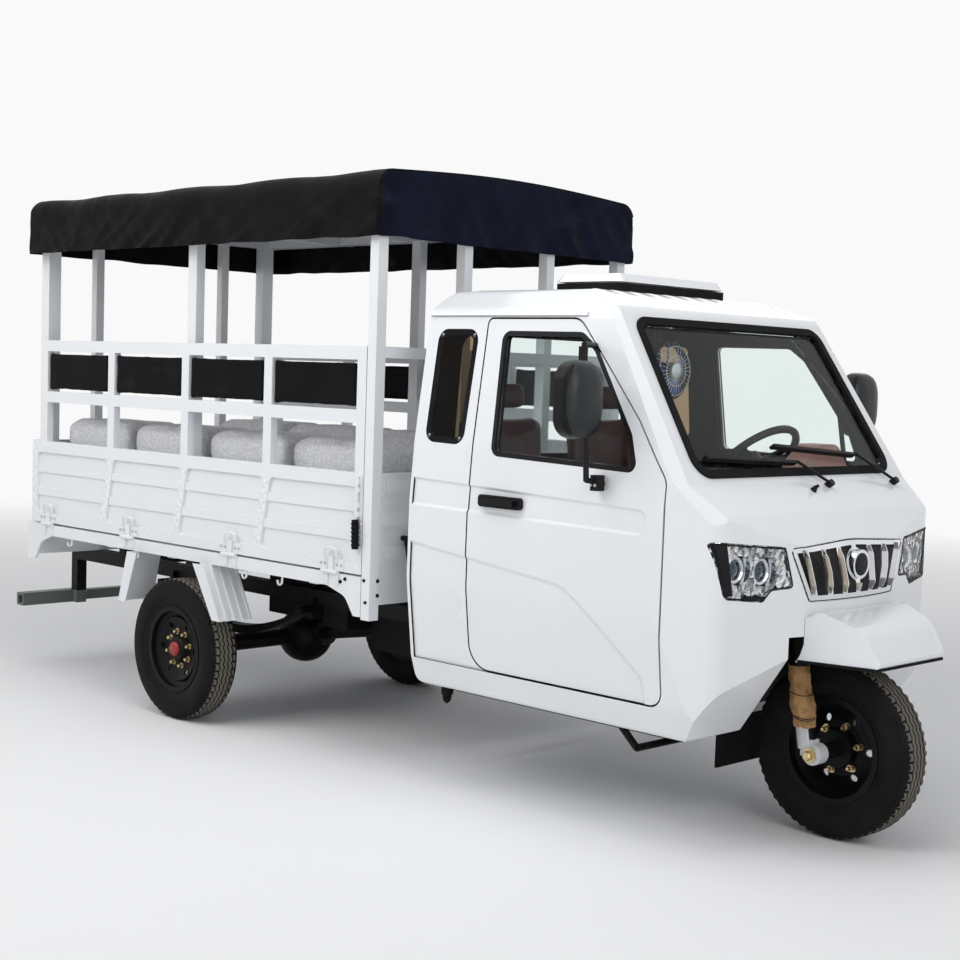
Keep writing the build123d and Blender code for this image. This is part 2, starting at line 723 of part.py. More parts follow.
CAGE_POSTS = [
    (BED_FRONT_X - POST, BED_FRONT_X, BED_HALF_WIDTH - POST, BED_HALF_WIDTH, FRONT_POST_BOTTOM_Z),
    (BED_FRONT_X - POST, BED_FRONT_X, FRONT_INNER_POST_Y - 20, FRONT_INNER_POST_Y + 20, 1071.0),
    (-28.0, 28.0, 586.0, 626.0, BED_FLOOR_Z),
    (-1154.0, -1094.0, 566.0, 626.0, BED_FLOOR_Z),
    (-1154.0, -1114.0, REAR_INNER_POST_Y - 20, REAR_INNER_POST_Y + 20, 1080.0),
]
with BuildPart() as cage:
    for x0, x1, y0, y1, bottom in CAGE_POSTS:
        for sign in (-1, 1):
            block(x0, x1, sign * y0, sign * y1, bottom, CAGE_TOP_Z)
    for sign in (-1, 1):
        block(-1154, BED_FRONT_X, sign * 586, sign * 663, CAGE_TOP_Z - 40, CAGE_TOP_Z)
    for x in (-1154, -580, -28, 540, BED_FRONT_X - POST):
        block(x, x + POST, -676, 676, CAGE_TOP_Z - 40, CAGE_TOP_Z)
    block(BED_FRONT_X - POST, BED_FRONT_X, -650, 650, 1480, 1520)
CANOPY = [
    (-CANOPY_HALF_WIDTH, CANOPY_BOTTOM_Z, 0),
    (CANOPY_HALF_WIDTH, CANOPY_BOTTOM_Z, 0),
    (CANOPY_HALF_WIDTH, CANOPY_EAVE_Z + 50, 70),
    (0, CANOPY_CROWN_Z + 8, 4000),
    (-CANOPY_HALF_WIDTH, CANOPY_EAVE_Z + 50, 70),
]


def canopy_form(inset):
    """Canopy outline, moved in by the inset, over the cage."""
    with BuildPart() as form:
        front_prism(CANOPY, CANOPY_REAR_X + inset, CANOPY_FRONT_X - inset, inset=inset)
    return form.part


with BuildPart() as canopy:
    add(canopy_form(0.0))
    add(canopy_form(CANOPY_SKIN), mode=Mode.SUBTRACT)
    block(
        CANOPY_REAR_X + CANOPY_SKIN,
        CANOPY_FRONT_X - CANOPY_SKIN,
        -(CANOPY_HALF_WIDTH - CANOPY_SKIN),
        CANOPY_HALF_WIDTH - CANOPY_SKIN,
        CANOPY_BOTTOM_Z - 20,
        CANOPY_BOTTOM_Z + 60,
        mode=Mode.SUBTRACT,
    )
save("canopy_cover", canopy.part)

BOW_DEPTH = 24.0
BOW_XS = (-1154.0, -580.0, -28.0, 540.0, BED_FRONT_X - POST)
with BuildPart() as bows:
    for x in BOW_XS:
        block(x, x + POST, -FAR, FAR, CAGE_TOP_Z, 2300)
    add(canopy_form(CANOPY_SKIN + SEAT_GAP), mode=Mode.INTERSECT)
    add(canopy_form(CANOPY_SKIN + SEAT_GAP + BOW_DEPTH), mode=Mode.SUBTRACT)
with BuildPart() as cage_frame:
    add(cage.part)
    add(bows.part)
save("cage_frame", cage_frame.part)

# Benches along both sides of the bed
BENCH_TOP_Z = 1050.0
CUSHION_TOP_Z = 1172.0
BENCH_RAIL = 30.0
BENCH_RAIL_Z = 1000.0
with BuildPart() as bench_tops:
    for sign in (-1, 1):
        block(-1060, 1090, sign * 240, sign * 270, BENCH_RAIL_Z, 1040)
        block(-1060, 1090, sign * 550, sign * 580, BENCH_RAIL_Z, 1040)
        block(-1060, 1090, sign * 240, sign * 580, 1040, BENCH_TOP_Z)
save("bench_tops", bench_tops.part)

with BuildPart() as bench_legs:
    for sign in (-1, 1):
        for x in (-1060, -360, 340, 1060):
            for y in (240, 550):
                block(x, x + BENCH_RAIL, sign * y, sign * (y + BENCH_RAIL), BED_FLOOR_Z, BENCH_RAIL_Z)
save("bench_legs", bench_legs.part)

CUSHIONS = 4
with BuildPart() as cushions:
    for sign in (-1, 1):
        for i in range(CUSHIONS):
            start = -1056 + i * 2142 / CUSHIONS
            block(start, start + 2142 / CUSHIONS - 6, sign * 236, sign * 582, BENCH_TOP_Z, CUSHION_TOP_Z)
    fillet(cushions.edges().group_by(Axis.Z)[-1], 26)
save("bench_cushions", cushions.part)

# Side gates: pressed lower panel, open lattice and filled top row

PITCH = (GATE_FRONT_X - LATTICE_REAR_X - RAIL_DEPTH) / BAYS
POCKET_Z0 = GATE_BOTTOM_Z + 42
POCKET_Z1 = GATE_PANEL_TOP_Z - 50
POCKET_LEAN = 55.0
BAY_RIBS_Z = (828.0, 931.0)
PAD_GAP = 0.3
for label, sign in (("right", -1), ("left", 1)):
    gate_out = sign * BED_HALF_WIDTH
    gate_in = sign * (BED_HALF_WIDTH - GATE_THICKNESS)
    with BuildPart() as gate:
        block(GATE_REAR_X, GATE_FRONT_X, gate_in, gate_out, GATE_BOTTOM_Z, GATE_PANEL_TOP_Z)
        for i in range(BAYS):
            x0 = LATTICE_REAR_X + RAIL_DEPTH + i * PITCH
            x1 = x0 + PITCH - RAIL_DEPTH
            low_start = GATE_REAR_X + 45 if i == 0 else x0 - POCKET_LEAN
            low_end = x1 + 10 if i == BAYS - 1 else x1 - POCKET_LEAN
            pocket = [
                (low_start, POCKET_Z0, 20),
                (low_end, POCKET_Z0, 20),
                (x1 + 10, POCKET_Z1, 20),
                (low_start if i == 0 else x0, POCKET_Z1, 20),
            ]
            far_y = max(gate_out, sign * (BED_HALF_WIDTH - 12))
            near_y = min(gate_out, sign * (BED_HALF_WIDTH - 12))
            side_prism(pocket, far_y, near_y, mode=Mode.SUBTRACT)
            for rib_z in BAY_RIBS_Z:
                block(low_start - 4, x1 + 12, gate_out - sign * 13, gate_out - sign * 5, rib_z, rib_z + 34)
        for hinge_x in HINGE_XS:
            rod(
                (hinge_x - 14, sign * HINGE_Y, HINGE_Z),
                (hinge_x + 14, sign * HINGE_Y, HINGE_Z),
                HINGE_RADIUS,
            )
            block(hinge_x - 14, hinge_x + 14, gate_out, sign * (HINGE_Y - 2), HINGE_Z + 2, 760)
            rod(
                (hinge_x - 15, sign * HINGE_Y, HINGE_Z),
                (hinge_x + 15, sign * HINGE_Y, HINGE_Z),
                HINGE_PIN_RADIUS + RUNNING_GAP,
                mode=Mode.SUBTRACT,
            )
    save("gate_" + label, gate.part)

    with BuildPart() as lattice:
        block(LATTICE_REAR_X, GATE_FRONT_X, gate_in, gate_out, GATE_PANEL_TOP_Z, GATE_TOP_Z)
        for i in range(BAYS):
            x0 = LATTICE_REAR_X + RAIL_DEPTH + i * PITCH
            x1 = x0 + PITCH - RAIL_DEPTH
            rail_underside_z = MID_RAIL_TOP_Z - RAIL_DEPTH
            block(x0, x1, gate_in, gate_out, GATE_PANEL_TOP_Z, rail_underside_z, mode=Mode.SUBTRACT)
            block(x0, x1, gate_in, gate_out, MID_RAIL_TOP_Z, GATE_TOP_Z - RAIL_DEPTH, mode=Mode.SUBTRACT)
    save("gate_lattice_" + label, lattice.part)

    with BuildPart() as pads:
        for i in range(BAYS):
            x0 = LATTICE_REAR_X + RAIL_DEPTH + i * PITCH + PAD_GAP
            x1 = x0 + PITCH - RAIL_DEPTH - 2 * PAD_GAP
            block(
                x0,
                x1,
                sign * (BED_HALF_WIDTH - 18),
                sign * (BED_HALF_WIDTH - 8),
                MID_RAIL_TOP_Z + PAD_GAP,
                GATE_TOP_Z - RAIL_DEPTH - PAD_GAP,
            )
    save("gate_pads_" + label, pads.part)

with BuildPart() as tailgate:
    tail_x1 = BED_REAR_X - 7
    tail_x0 = tail_x1 - TAILGATE_THICKNESS
    block(tail_x0, tail_x1, -640, 640, GATE_BOTTOM_Z, GATE_PANEL_TOP_Z)
    for i in range(3):
        y0 = -600 + i * 405
        block(tail_x0, tail_x0 + 10, y0, y0 + 385, POCKET_Z0, POCKET_Z1, mode=Mode.SUBTRACT)
    for y in (-450, 0, 450):
        knuckle_x = tail_x0 - HINGE_RADIUS
        rod((knuckle_x, y - 14, HINGE_Z), (knuckle_x, y + 14, HINGE_Z), HINGE_RADIUS)
        block(tail_x0 - HINGE_RADIUS + 2, tail_x0, y - 14, y + 14, HINGE_Z + 2, 760)
        rod(
            (tail_x0 - HINGE_RADIUS, y - 15, HINGE_Z),
            (tail_x0 - HINGE_RADIUS, y + 15, HINGE_Z),
            HINGE_PIN_RADIUS + RUNNING_GAP,
            mode=Mode.SUBTRACT,
        )
save("tailgate", tailgate.part)

with BuildPart() as bed:
    add(bed_floor.part)
    block(tail_x0, BED_REAR_X, -660, 660, 640, BED_RAIL_TOP_Z)
    for y in (-450, 0, 450):
        for start in (-45, 15):
            rod(
                (tail_x0 - HINGE_RADIUS, y + start, HINGE_Z),
                (tail_x0 - HINGE_RADIUS, y + start + 30, HINGE_Z),
                HINGE_RADIUS,
            )
            block(tail_x0 - HINGE_RADIUS + 2, tail_x0, y + start, y + start + 30, 660, 700)
        rod(
            (tail_x0 - HINGE_RADIUS, y - 20, HINGE_Z),
            (tail_x0 - HINGE_RADIUS, y + 20, HINGE_Z),
            HINGE_PIN_RADIUS,
        )
save("bed_floor", bed.part)

with BuildPart() as tail_lamps:
    for sign in (-1, 1):
        block(tail_x0 - 24, tail_x0, sign * 500, sign * 640, 648, 692)
save("tail_lamps", tail_lamps.part)

# Chassis, axle, springs, drive and rear bar
RAIL_Y = 300.0
STRUT_Y = 500.0
STRUT_RADIUS = 13.0
DRAIN_Y = 550.0
STEP_X = 2268.0
STEP_Y = 500.0
STEP_Z = 276.0
STEP_RADIUS = 12.0
STEP_LEG_TOP_Z = CAB_BOTTOM_Z - 9.5
with BuildPart() as chassis:
    for sign in (-1, 1):
        block(-1330, 1330, sign * RAIL_Y, sign * (RAIL_Y + 50), 500, 560)
        block(1255, 1330, sign * RAIL_Y, sign * (RAIL_Y + 50), 285, 560)
        block(1255, 2330, sign * RAIL_Y, sign * (RAIL_Y + 50), 285, CAB_BOTTOM_Z)
        block(-1330, -1280, sign * RAIL_Y, sign * (RAIL_Y + 50), 350, 500)
        for x in (-900, 900):
            block(x - 25, x + 25, sign * RAIL_Y, sign * (RAIL_Y + 50), 560, 622)
        block(1232, 1268, sign * (RAIL_Y + 50), sign * (STRUT_Y + 16), 520, 545)
        rod((1172, sign * STRUT_Y, 840), (1250, sign * STRUT_Y, 536), STRUT_RADIUS)
        rod((1172, sign * STRUT_Y, 836), (1148, sign * STRUT_Y, 836), 10)
        rod((1455, sign * DRAIN_Y, 300), (1455, sign * DRAIN_Y, CAB_BOTTOM_Z - SEAT_GAP), 12)
        rod((STEP_X, sign * STEP_Y, STEP_Z), (STEP_X - 72, sign * STEP_Y, STEP_LEG_TOP_Z), STEP_RADIUS)
    rod((STEP_X, -STEP_Y, STEP_Z), (STEP_X, STEP_Y, STEP_Z), STEP_RADIUS)
    for x in (-1000, 420, 1255, 2260):
        low = 285 if x > 1200 else 500
        block(x, x + 50, -RAIL_Y, RAIL_Y, low, low + 60)
save("chassis_frame", chassis.part)

BAR_Z0 = 292.0
BAR_Z1 = 350.0
BAR_DEPTH = 58.0
BAR_WALL = 5.0
SLEEVE_Y = (280.0, 610.0)
SLEEVE_STEP = 6.0
with BuildPart() as rear_bar:
    block(
        SLEEVE_STEP - REAR_OVERHANG,
        BAR_DEPTH - SLEEVE_STEP - REAR_OVERHANG,
        -SLEEVE_Y[1],
        SLEEVE_Y[1],
        BAR_Z0 + SLEEVE_STEP,
        BAR_Z1 - SLEEVE_STEP,
    )
    for sign in (-1, 1):
        sleeve_y0, sleeve_y1 = sign * SLEEVE_Y[0], sign * SLEEVE_Y[1]
        block(-REAR_OVERHANG, BAR_DEPTH - REAR_OVERHANG, sleeve_y0, sleeve_y1, BAR_Z0, BAR_Z1)
        block(BAR_DEPTH - 13 - REAR_OVERHANG, -1280, sign * RAIL_Y, sign * (RAIL_Y + 50), BAR_Z0, BAR_Z1)
    block(
        SLEEVE_STEP + BAR_WALL - REAR_OVERHANG,
        BAR_DEPTH - SLEEVE_STEP - BAR_WALL - REAR_OVERHANG,
        -SLEEVE_Y[1] - 1,
        SLEEVE_Y[1] + 1,
        BAR_Z0 + SLEEVE_STEP + BAR_WALL,
        BAR_Z1 - SLEEVE_STEP - BAR_WALL,
        mode=Mode.SUBTRACT,
    )
save("rear_bar", rear_bar.part)

DRUM_Y = REAR_WHEEL_Y - 40
ENGINE_REAR_X = 640.0
SHAFT_RISE = 0.17


def shaft_point(x):
    """Point of the drive line at a distance ahead of the axle."""
    return (x, 0, AXLE_Z + SHAFT_RISE * x)


with BuildPart() as rear_axle:
    rod((0, -DRUM_Y + 60, AXLE_Z), (0, DRUM_Y - 60, AXLE_Z), 36)
    for sign in (-1, 1):
        rod((0, sign * (DRUM_Y - 70), AXLE_Z), (0, sign * (DRUM_Y - 8), AXLE_Z), 112)
        rod((0, sign * (DRUM_Y - 10), AXLE_Z), (0, sign * (REAR_WHEEL_Y + 30), AXLE_Z), SPINDLE_RADIUS)
    with Locations((0, 0, AXLE_Z)):
        Sphere(118)
    rod(shaft_point(0.0), shaft_point(150.0), 50)
    rod(shaft_point(140.0), shaft_point(ENGINE_REAR_X - 30), 26)
save("rear_axle", rear_axle.part)

SPRING_Y = 400.0
with BuildPart() as springs:
    for sign in (-1, 1):
        with BuildSketch(side_plane(sign * SPRING_Y + 30)):
            with BuildLine():
                ThreePointArc((-480, 470), (0, 336), (480, 470))
                Line((480, 470), (480, 482))
                ThreePointArc((480, 482), (0, 372), (-480, 482))
                Line((-480, 482), (-480, 470))
            make_face()
        extrude(amount=60)
        for x in (-480, 480):
            rod((x, sign * SPRING_Y - 30, 478), (x, sign * SPRING_Y + 30, 478), 16)
            rod((x, sign * (RAIL_Y + 50.2), 490), (x, sign * (SPRING_Y + 34), 490), 12)
            block(x - 12, x + 12, sign * (RAIL_Y + 50.2), sign * (SPRING_Y - 31), 470, 530)
save("leaf_springs", springs.part)

# Fuel tank, air box and battery boxes between the rails: x from, x to, inner y and underside
UNDER_BED_BOXES = ((125.0, 412.0, 45.0, 425.0), (476.0, 622.0, 70.0, 410.0))
BOX_TOP_Z = 612.0
BOX_WALL = 8.0
with BuildPart() as engine:
    block(ENGINE_REAR_X, 1080, -190, 190, 330, 615)
    rod(shaft_point(ENGINE_REAR_X - 30), shaft_point(ENGINE_REAR_X + 40), 50)
    for x in (700, 980):
        block(x, x + 50, -RAIL_Y + 0.3, RAIL_Y - 0.3, 505, 545)
    for x0, x1, near_y, low_z in UNDER_BED_BOXES:
        for sign in (-1, 1):
            far_y = RAIL_Y - SEAT_GAP
            block(x0, x1, sign * near_y, sign * far_y, low_z, BOX_TOP_Z)
            block(
                x0 + BOX_WALL,
                x1 - BOX_WALL,
                sign * (near_y + BOX_WALL),
                sign * (far_y - BOX_WALL),
                low_z + BOX_WALL,
                BOX_TOP_Z + 1,
                mode=Mode.SUBTRACT,
            )
save("engine", engine.part)

# Wheel flaps under the bed
FLAP_Y = (545.0, 705.0)
FLAP_RIBS = 5
FLAP_RIB = 10.0
FLAP_FLANGE = 58.0
FLAP_FLANGE_SHEET = 5.0
# top and bottom x of each flap, and the way its ribs stand out
FLAPS = ((-312.0, -372.0, -1), (200.0, 318.0, 1))
FLAP_SHEET = 12.0
FLAP_BOTTOM_Z = 440.0
with BuildPart() as wheel_flaps:
    for sign in (-1, 1):
        for top_x, bottom_x, out in FLAPS:
            y_high = max(sign * FLAP_Y[0], sign * FLAP_Y[1])
            y_low = min(sign * FLAP_Y[0], sign * FLAP_Y[1])
            sheet = [
                (top_x, BED_RAIL_BOTTOM_Z, 0),
                (top_x + FLAP_SHEET, BED_RAIL_BOTTOM_Z, 0),
                (bottom_x + FLAP_SHEET, FLAP_BOTTOM_Z, 0),
                (bottom_x, FLAP_BOTTOM_Z, 0),
            ]
            side_prism(sheet, y_high, y_low)
            flange = [
                (top_x + FLAP_SHEET / 2, BED_RAIL_BOTTOM_Z, 0),
                (top_x + FLAP_SHEET / 2 - out * FLAP_FLANGE, BED_RAIL_BOTTOM_Z, 0),
                (bottom_x + FLAP_SHEET / 2 - out * FLAP_FLANGE * 0.7, FLAP_BOTTOM_Z, 0),
                (bottom_x + FLAP_SHEET / 2, FLAP_BOTTOM_Z, 0),
            ]
            flange_edge = sign * (FLAP_Y[1] - FLAP_FLANGE_SHEET)
            side_prism(flange, max(sign * FLAP_Y[1], flange_edge), min(sign * FLAP_Y[1], flange_edge))
            spacing = (FLAP_Y[1] - FLAP_Y[0] - FLAP_RIB) / (FLAP_RIBS - 1)
            for i in range(FLAP_RIBS):
                rib = [(x + out * 5, z, r) for x, z, r in sheet]
                side_prism(rib, y_low + FLAP_RIB + i * spacing, y_low + i * spacing)
save("wheel_flaps", wheel_flaps.part)

# Wheels
BEAD_Y = TYRE_WIDTH / 2 - 17
SHOULDER_Y = TYRE_WIDTH / 2 - 20
TYRE_SECTION = [
    (-BEAD_Y, RIM_RADIUS, 0),
    (-BEAD_Y, RIM_RADIUS + 18, 0),
    (-TYRE_WIDTH / 2, 222, 0),
    (-TYRE_WIDTH / 2 + 6, 262, 0),
    (-SHOULDER_Y, TYRE_RADIUS, 0),
    (SHOULDER_Y, TYRE_RADIUS, 0),
    (TYRE_WIDTH / 2 - 6, 262, 0),
    (TYRE_WIDTH / 2, 222, 0),
    (BEAD_Y, RIM_RADIUS + 18, 0),
    (BEAD_Y, RIM_RADIUS, 0),
]
FLANGE_Y = BEAD_Y + SEAT_GAP
FLANGE = 3.5
FACE = TYRE_WIDTH / 2
RIM_EDGE = RIM_RADIUS - SEAT_GAP


def spin_about(x, y, side):
    """Sketch plane with u along the outward side of the wheel and v radial, at a wheel centre."""
    return Plane(origin=(x, y, AXLE_Z), x_dir=(0, side, 0), z_dir=(1, 0, 0) if side > 0 else (-1, 0, 0))


def wheel_axis(x, y):
    """Axis of a wheel."""
    return Axis((x, y, AXLE_Z), (0, 1, 0))


def tyre_at(x, y):
    """Tyre, filled down to its bead."""
    with BuildPart() as tyre:
        with BuildSketch(spin_about(x, y, 1)):
            rounded_face(TYRE_SECTION)
        revolve(axis=wheel_axis(x, y))
    return tyre.part


def rim_at(x, y, side, dish, hub_end):
    """Pressed steel wheel with its hub; dish is how far the disc sits outward of the middle."""
    section = [
        (-FLANGE_Y - FLANGE, RIM_EDGE + 14, 0),
        (-FLANGE_Y, RIM_EDGE + 14, 0),
        (-FLANGE_Y, RIM_EDGE, 0),
        (FLANGE_Y, RIM_EDGE, 0),
        (FLANGE_Y, RIM_EDGE + 14, 0),
        (FLANGE_Y + FLANGE, RIM_EDGE + 14, 0),
        (FLANGE_Y + FLANGE, RIM_EDGE - 6, 0),
        (36, RIM_EDGE - 8, 0),
        (28, 134, 0),
        (dish + 22, 128, 0),
        (dish + 6, 88, 0),
        (dish + 4, 60, 0),
        (hub_end - 6, 50, 0),
        (hub_end, 42, 0),
        (hub_end, SPINDLE_RADIUS + RUNNING_GAP, 0),
        (-26, SPINDLE_RADIUS + RUNNING_GAP, 0),
        (-26, 60, 0),
        (dish - 4, 66, 0),
        (dish - 2, 90, 0),
        (dish + 12, 122, 0),
        (-27, RIM_EDGE - 8, 0),
        (-FLANGE_Y - FLANGE, RIM_EDGE - 6, 0),
    ]
    with BuildPart() as rim:
        with BuildSketch(spin_about(x, y, side)):
            rounded_face(section)
        revolve(axis=wheel_axis(x, y))
        for k in range(6):
            angle = k * pi / 3
            cx = x + 104 * cos(angle)
            cz = AXLE_Z + 104 * sin(angle)
            rod((cx, y - FACE, cz), (cx, y + FACE, cz), 12, mode=Mode.SUBTRACT)
    return rim.part


for label, side in (("right", -1), ("left", 1)):
    save("rear_tyre_" + label, tyre_at(0, side * REAR_WHEEL_Y))
    save("rear_rim_" + label, rim_at(0, side * REAR_WHEEL_Y, side, 16.0, 46.0))
save("front_tyre", tyre_at(FRONT_AXLE_X, 0))
save("front_rim", rim_at(FRONT_AXLE_X, 0, 1, 6.0, 40.0))

# Steered fork
CLAMP_LOW_Z = 690.0
CLAMP_HIGH_Z = 860.0
CLAMP_HALF = 26.0
with BuildPart() as fork:
    for sign in (-1, 1):
        y = sign * FORK_LEG_Y
        rod((steer_point(300), y, 300), (steer_point(560), y, 560), FORK_LEG_RADIUS + 3)
        rod((steer_point(540), y, 540), (steer_point(880), y, 880), FORK_LEG_RADIUS - 5)
        rod((FRONT_AXLE_X, y - 22, AXLE_Z), (FRONT_AXLE_X, y + 22, AXLE_Z), 34)
        block(steer_point(320) - 10, FRONT_AXLE_X, y - 18, y + 18, 275, 330)
    for z in (CLAMP_LOW_Z, CLAMP_HIGH_Z):
        x = steer_point(z)
        reach_y = FORK_LEG_Y + CLAMP_HALF
        block(x - CLAMP_HALF, x + CLAMP_HALF, -reach_y, reach_y, z - 14, z + 14)
    stem_low = (steer_point(CLAMP_LOW_Z), 0, CLAMP_LOW_Z)
    stem_high = (steer_point(CLAMP_HIGH_Z), 0, CLAMP_HIGH_Z)
    rod(stem_low, stem_high, STEM_RADIUS)
    rod((FRONT_AXLE_X, -FORK_LEG_Y - 34, AXLE_Z), (FRONT_AXLE_X, FORK_LEG_Y + 34, AXLE_Z), SPINDLE_RADIUS)
save("front_fork", fork.part)

with BuildPart() as steering_head:
    low_z = CLAMP_LOW_Z + 24
    high_z = CLAMP_HIGH_Z - 24
    rod((steer_point(low_z), 0, low_z), (steer_point(high_z), 0, high_z), 38)
    block(2200, 2590, -36, 36, 745, 805)
    bore_low = (steer_point(low_z - 40), 0, low_z - 40)
    bore_high = (steer_point(high_z + 40), 0, high_z + 40)
    rod(bore_low, bore_high, STEM_RADIUS + RUNNING_GAP, mode=Mode.SUBTRACT)
    for sign in (-1, 1):
        block(2200, 2260, sign * 36, sign * RAIL_Y, 745, 805)
        block(2200, 2260, sign * (RAIL_Y - 60), sign * RAIL_Y, CAB_BOTTOM_Z + CAB_WALL + 0.3, 805)
save("steering_head", steering_head.part)

with BuildPart() as front_fender:
    fender_side = [(2650, 585, 0), (2945, 592, 15), (2880, 700, 90), (2750, 748, 40), (2650, 700, 0)]
    side_prism(fender_side, 260, -260)
    with BuildSketch(Plane.XY.offset(400)):
        rounded_face([(2650, -262, 0), (2950, -186, 40), (2950, 186, 40), (2650, 262, 0)])
    extrude(amount=500, mode=Mode.INTERSECT)
    with BuildPart(mode=Mode.PRIVATE) as fender_inside:
        inner_side = [(2600, 500, 0), (2937, 500, 12), (2873, 692, 84), (2748, 740, 34), (2600, 700, 0)]
        side_prism(inner_side, 252, -252)
        with BuildSketch(Plane.XY.offset(400)):
            rounded_face([(2600, -266, 0), (2942, -179, 34), (2942, 179, 34), (2600, 266, 0)])
        extrude(amount=500, mode=Mode.INTERSECT)
    add(fender_inside.part, mode=Mode.SUBTRACT)
    with BuildPart(mode=Mode.PRIVATE) as nose_room:
        with Locations((0.3, 0, 0)):
            add(outer_form)
        block(2300, 2800, -FAR, FAR, 560, 1200, mode=Mode.INTERSECT)
    add(nose_room.part, mode=Mode.SUBTRACT)
save("front_fender", front_fender.part)

with BuildPart() as front_flap:
    block(2352, 2360, -200, 200, 185, CAB_BOTTOM_Z - 0.3)
save("front_flap", front_flap.part)

HOUSING_WALL = 6.0
HOUSING_TOP_Z = 735.0
with BuildPart() as wheel_housing:
    add(inner_form)
    block(
        ARCH_REAR_X - HOUSING_WALL,
        2900,
        -ARCH_HALF_WIDTH - HOUSING_WALL,
        ARCH_HALF_WIDTH + HOUSING_WALL,
        300,
        HOUSING_TOP_Z,
        mode=Mode.INTERSECT,
    )
    block(ARCH_REAR_X, 2900, -ARCH_HALF_WIDTH, ARCH_HALF_WIDTH, 300, 800, mode=Mode.SUBTRACT)
save("wheel_housing", wheel_housing.part)

# Cab inside
WHEEL_C = Vector(2123, 250, 1153)
COLUMN = Vector(cos(radians(45)), 0, -sin(radians(45)))
COLUMN_RADIUS = 30.0
RING_RADIUS = 180.0
RING_TUBE = 14.0
DASH_HALF_WIDTH = 600.0
HOOD_X = (2318.0, 2402.0)
HOOD = [(140, 1090, 0), (430, 1090, 0), (425, 1150, 20), (350, 1236, 70), (240, 1236, 70), (150, 1170, 30)]
DASH = [(2300, 820, 20), (2700, 820, 0), (2700, 1110, 0), (2420, 1110, 20), (2300, 1060, 40)]
with BuildPart() as dash:
    add(inner_form)
    side_prism(DASH, DASH_HALF_WIDTH, -DASH_HALF_WIDTH, mode=Mode.INTERSECT)
    block(2390, 2800, -FAR, FAR, 700, 985, mode=Mode.SUBTRACT)
    front_prism(HOOD, *HOOD_X)
    column_top = tuple(WHEEL_C + COLUMN * 30)
    column_foot = tuple(WHEEL_C + COLUMN * 400)
    rod(column_top, column_foot, COLUMN_RADIUS + SEAT_GAP, mode=Mode.SUBTRACT)
save("dashboard", dash.part)

with BuildPart() as seat_base:
    block(1400, 1840, -560, 560, CAB_BOTTOM_Z + CAB_WALL, 700)
save("seat_base", seat_base.part)

SEAT_YS = (-290.0, 270.0)
SEAT_CUSHION = [(1420, 700, 15), (1870, 700, 25), (1880, 806, 45), (1440, 792, 20)]
SEAT_BACK = [(1396, 790, 20), (1492, 790, 20), (1470, 1080, 60), (1448, 1310, 40), (1382, 1310, 25)]
HEADREST = [(1388, 1302, 10), (1446, 1302, 20), (1440, 1412, 26), (1384, 1412, 20)]
with BuildPart() as seats:
    for y in SEAT_YS:
        side_prism(SEAT_CUSHION, y + 235, y - 235)
        side_prism(SEAT_BACK, y + 225, y - 225)
        side_prism(HEADREST, y + 130, y - 130)
save("cab_seats", seats.part)

FAN_C = Vector(2120, -250, 1465)
FAN_RADIUS = 95.0
FAN_BLADES = 5
with BuildPart() as fan:
    rod(tuple(FAN_C + Vector(-45, 0, 0)), tuple(FAN_C + Vector(30, 0, 0)), 28)
    rod(tuple(FAN_C + Vector(-12, 0, 0)), tuple(FAN_C + Vector(22, 0, 0)), FAN_RADIUS)
    ring_back = tuple(FAN_C + Vector(-13, 0, 0))
    ring_front = tuple(FAN_C + Vector(23, 0, 0))
    rod(ring_back, ring_front, FAN_RADIUS - 5, mode=Mode.SUBTRACT)
    rod(tuple(FAN_C + Vector(-45, 0, 0)), tuple(FAN_C + Vector(30, 0, 0)), 28)
    for i in range(FAN_BLADES):
        with Locations(Location(FAN_C, (360 * i / FAN_BLADES, 0, 0))):
            with Locations(Location((5, 0, 55), (0, 0, 35))):
                Box(4, 40, 74)
    rod(tuple(FAN_C + Vector(-30, 0, 0)), tuple(FAN_C + Vector(-60, 0, 260)), 8)
    add(inner_form, mode=Mode.INTERSECT)
save("cab_fan", fan.part)

with BuildPart() as steering_column:
    start = WHEEL_C + COLUMN * 40
    end = WHEEL_C + COLUMN * 260
    rod(tuple(start), tuple(end), COLUMN_RADIUS)
    rod(tuple(WHEEL_C + COLUMN * 2), tuple(start), 12)
save("steering_column", steering_column.part)

with BuildPart() as steering_wheel:
    with BuildSketch(Plane(origin=WHEEL_C, x_dir=(0, 1, 0), z_dir=-COLUMN).rotated((0, 0, 0))):
        Circle(40)
        Circle(12.3, mode=Mode.SUBTRACT)
    extrude(amount=14, both=True)
    with BuildSketch(Plane(origin=WHEEL_C, x_dir=(0, 1, 0), z_dir=(COLUMN.Z, 0, -COLUMN.X))):
        with Locations((RING_RADIUS, 0)):
            RegularPolygon(RING_TUBE, 8)
    revolve(axis=Axis(WHEEL_C, COLUMN))
    with Locations(Plane(origin=WHEEL_C, x_dir=(0, 1, 0), z_dir=-COLUMN).location):
        for angle in (0, 120, 240):
            with Locations(Rotation(0, 0, angle + 90)):
                with Locations((105, 0, 0)):
                    Box(150, 26, 10)
    rod(tuple(WHEEL_C - COLUMN * 14), tuple(WHEEL_C - COLUMN * 26), 40)
save("steering_wheel", steering_wheel.part)

os.makedirs("parts", exist_ok=True)
for name, part in SAVED:
    part.label = name
    export_step(part, "parts/" + name + ".step")
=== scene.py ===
"""Looks of the cargo motor tricycle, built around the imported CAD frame. Lengths are metres."""
import json
from math import ceil, copysign, cos, hypot, pi, radians, sin, sqrt, tan

import bmesh
import bpy
import numpy as np
from mathutils import Matrix, Vector, noise
from mathutils.bvhtree import BVHTree


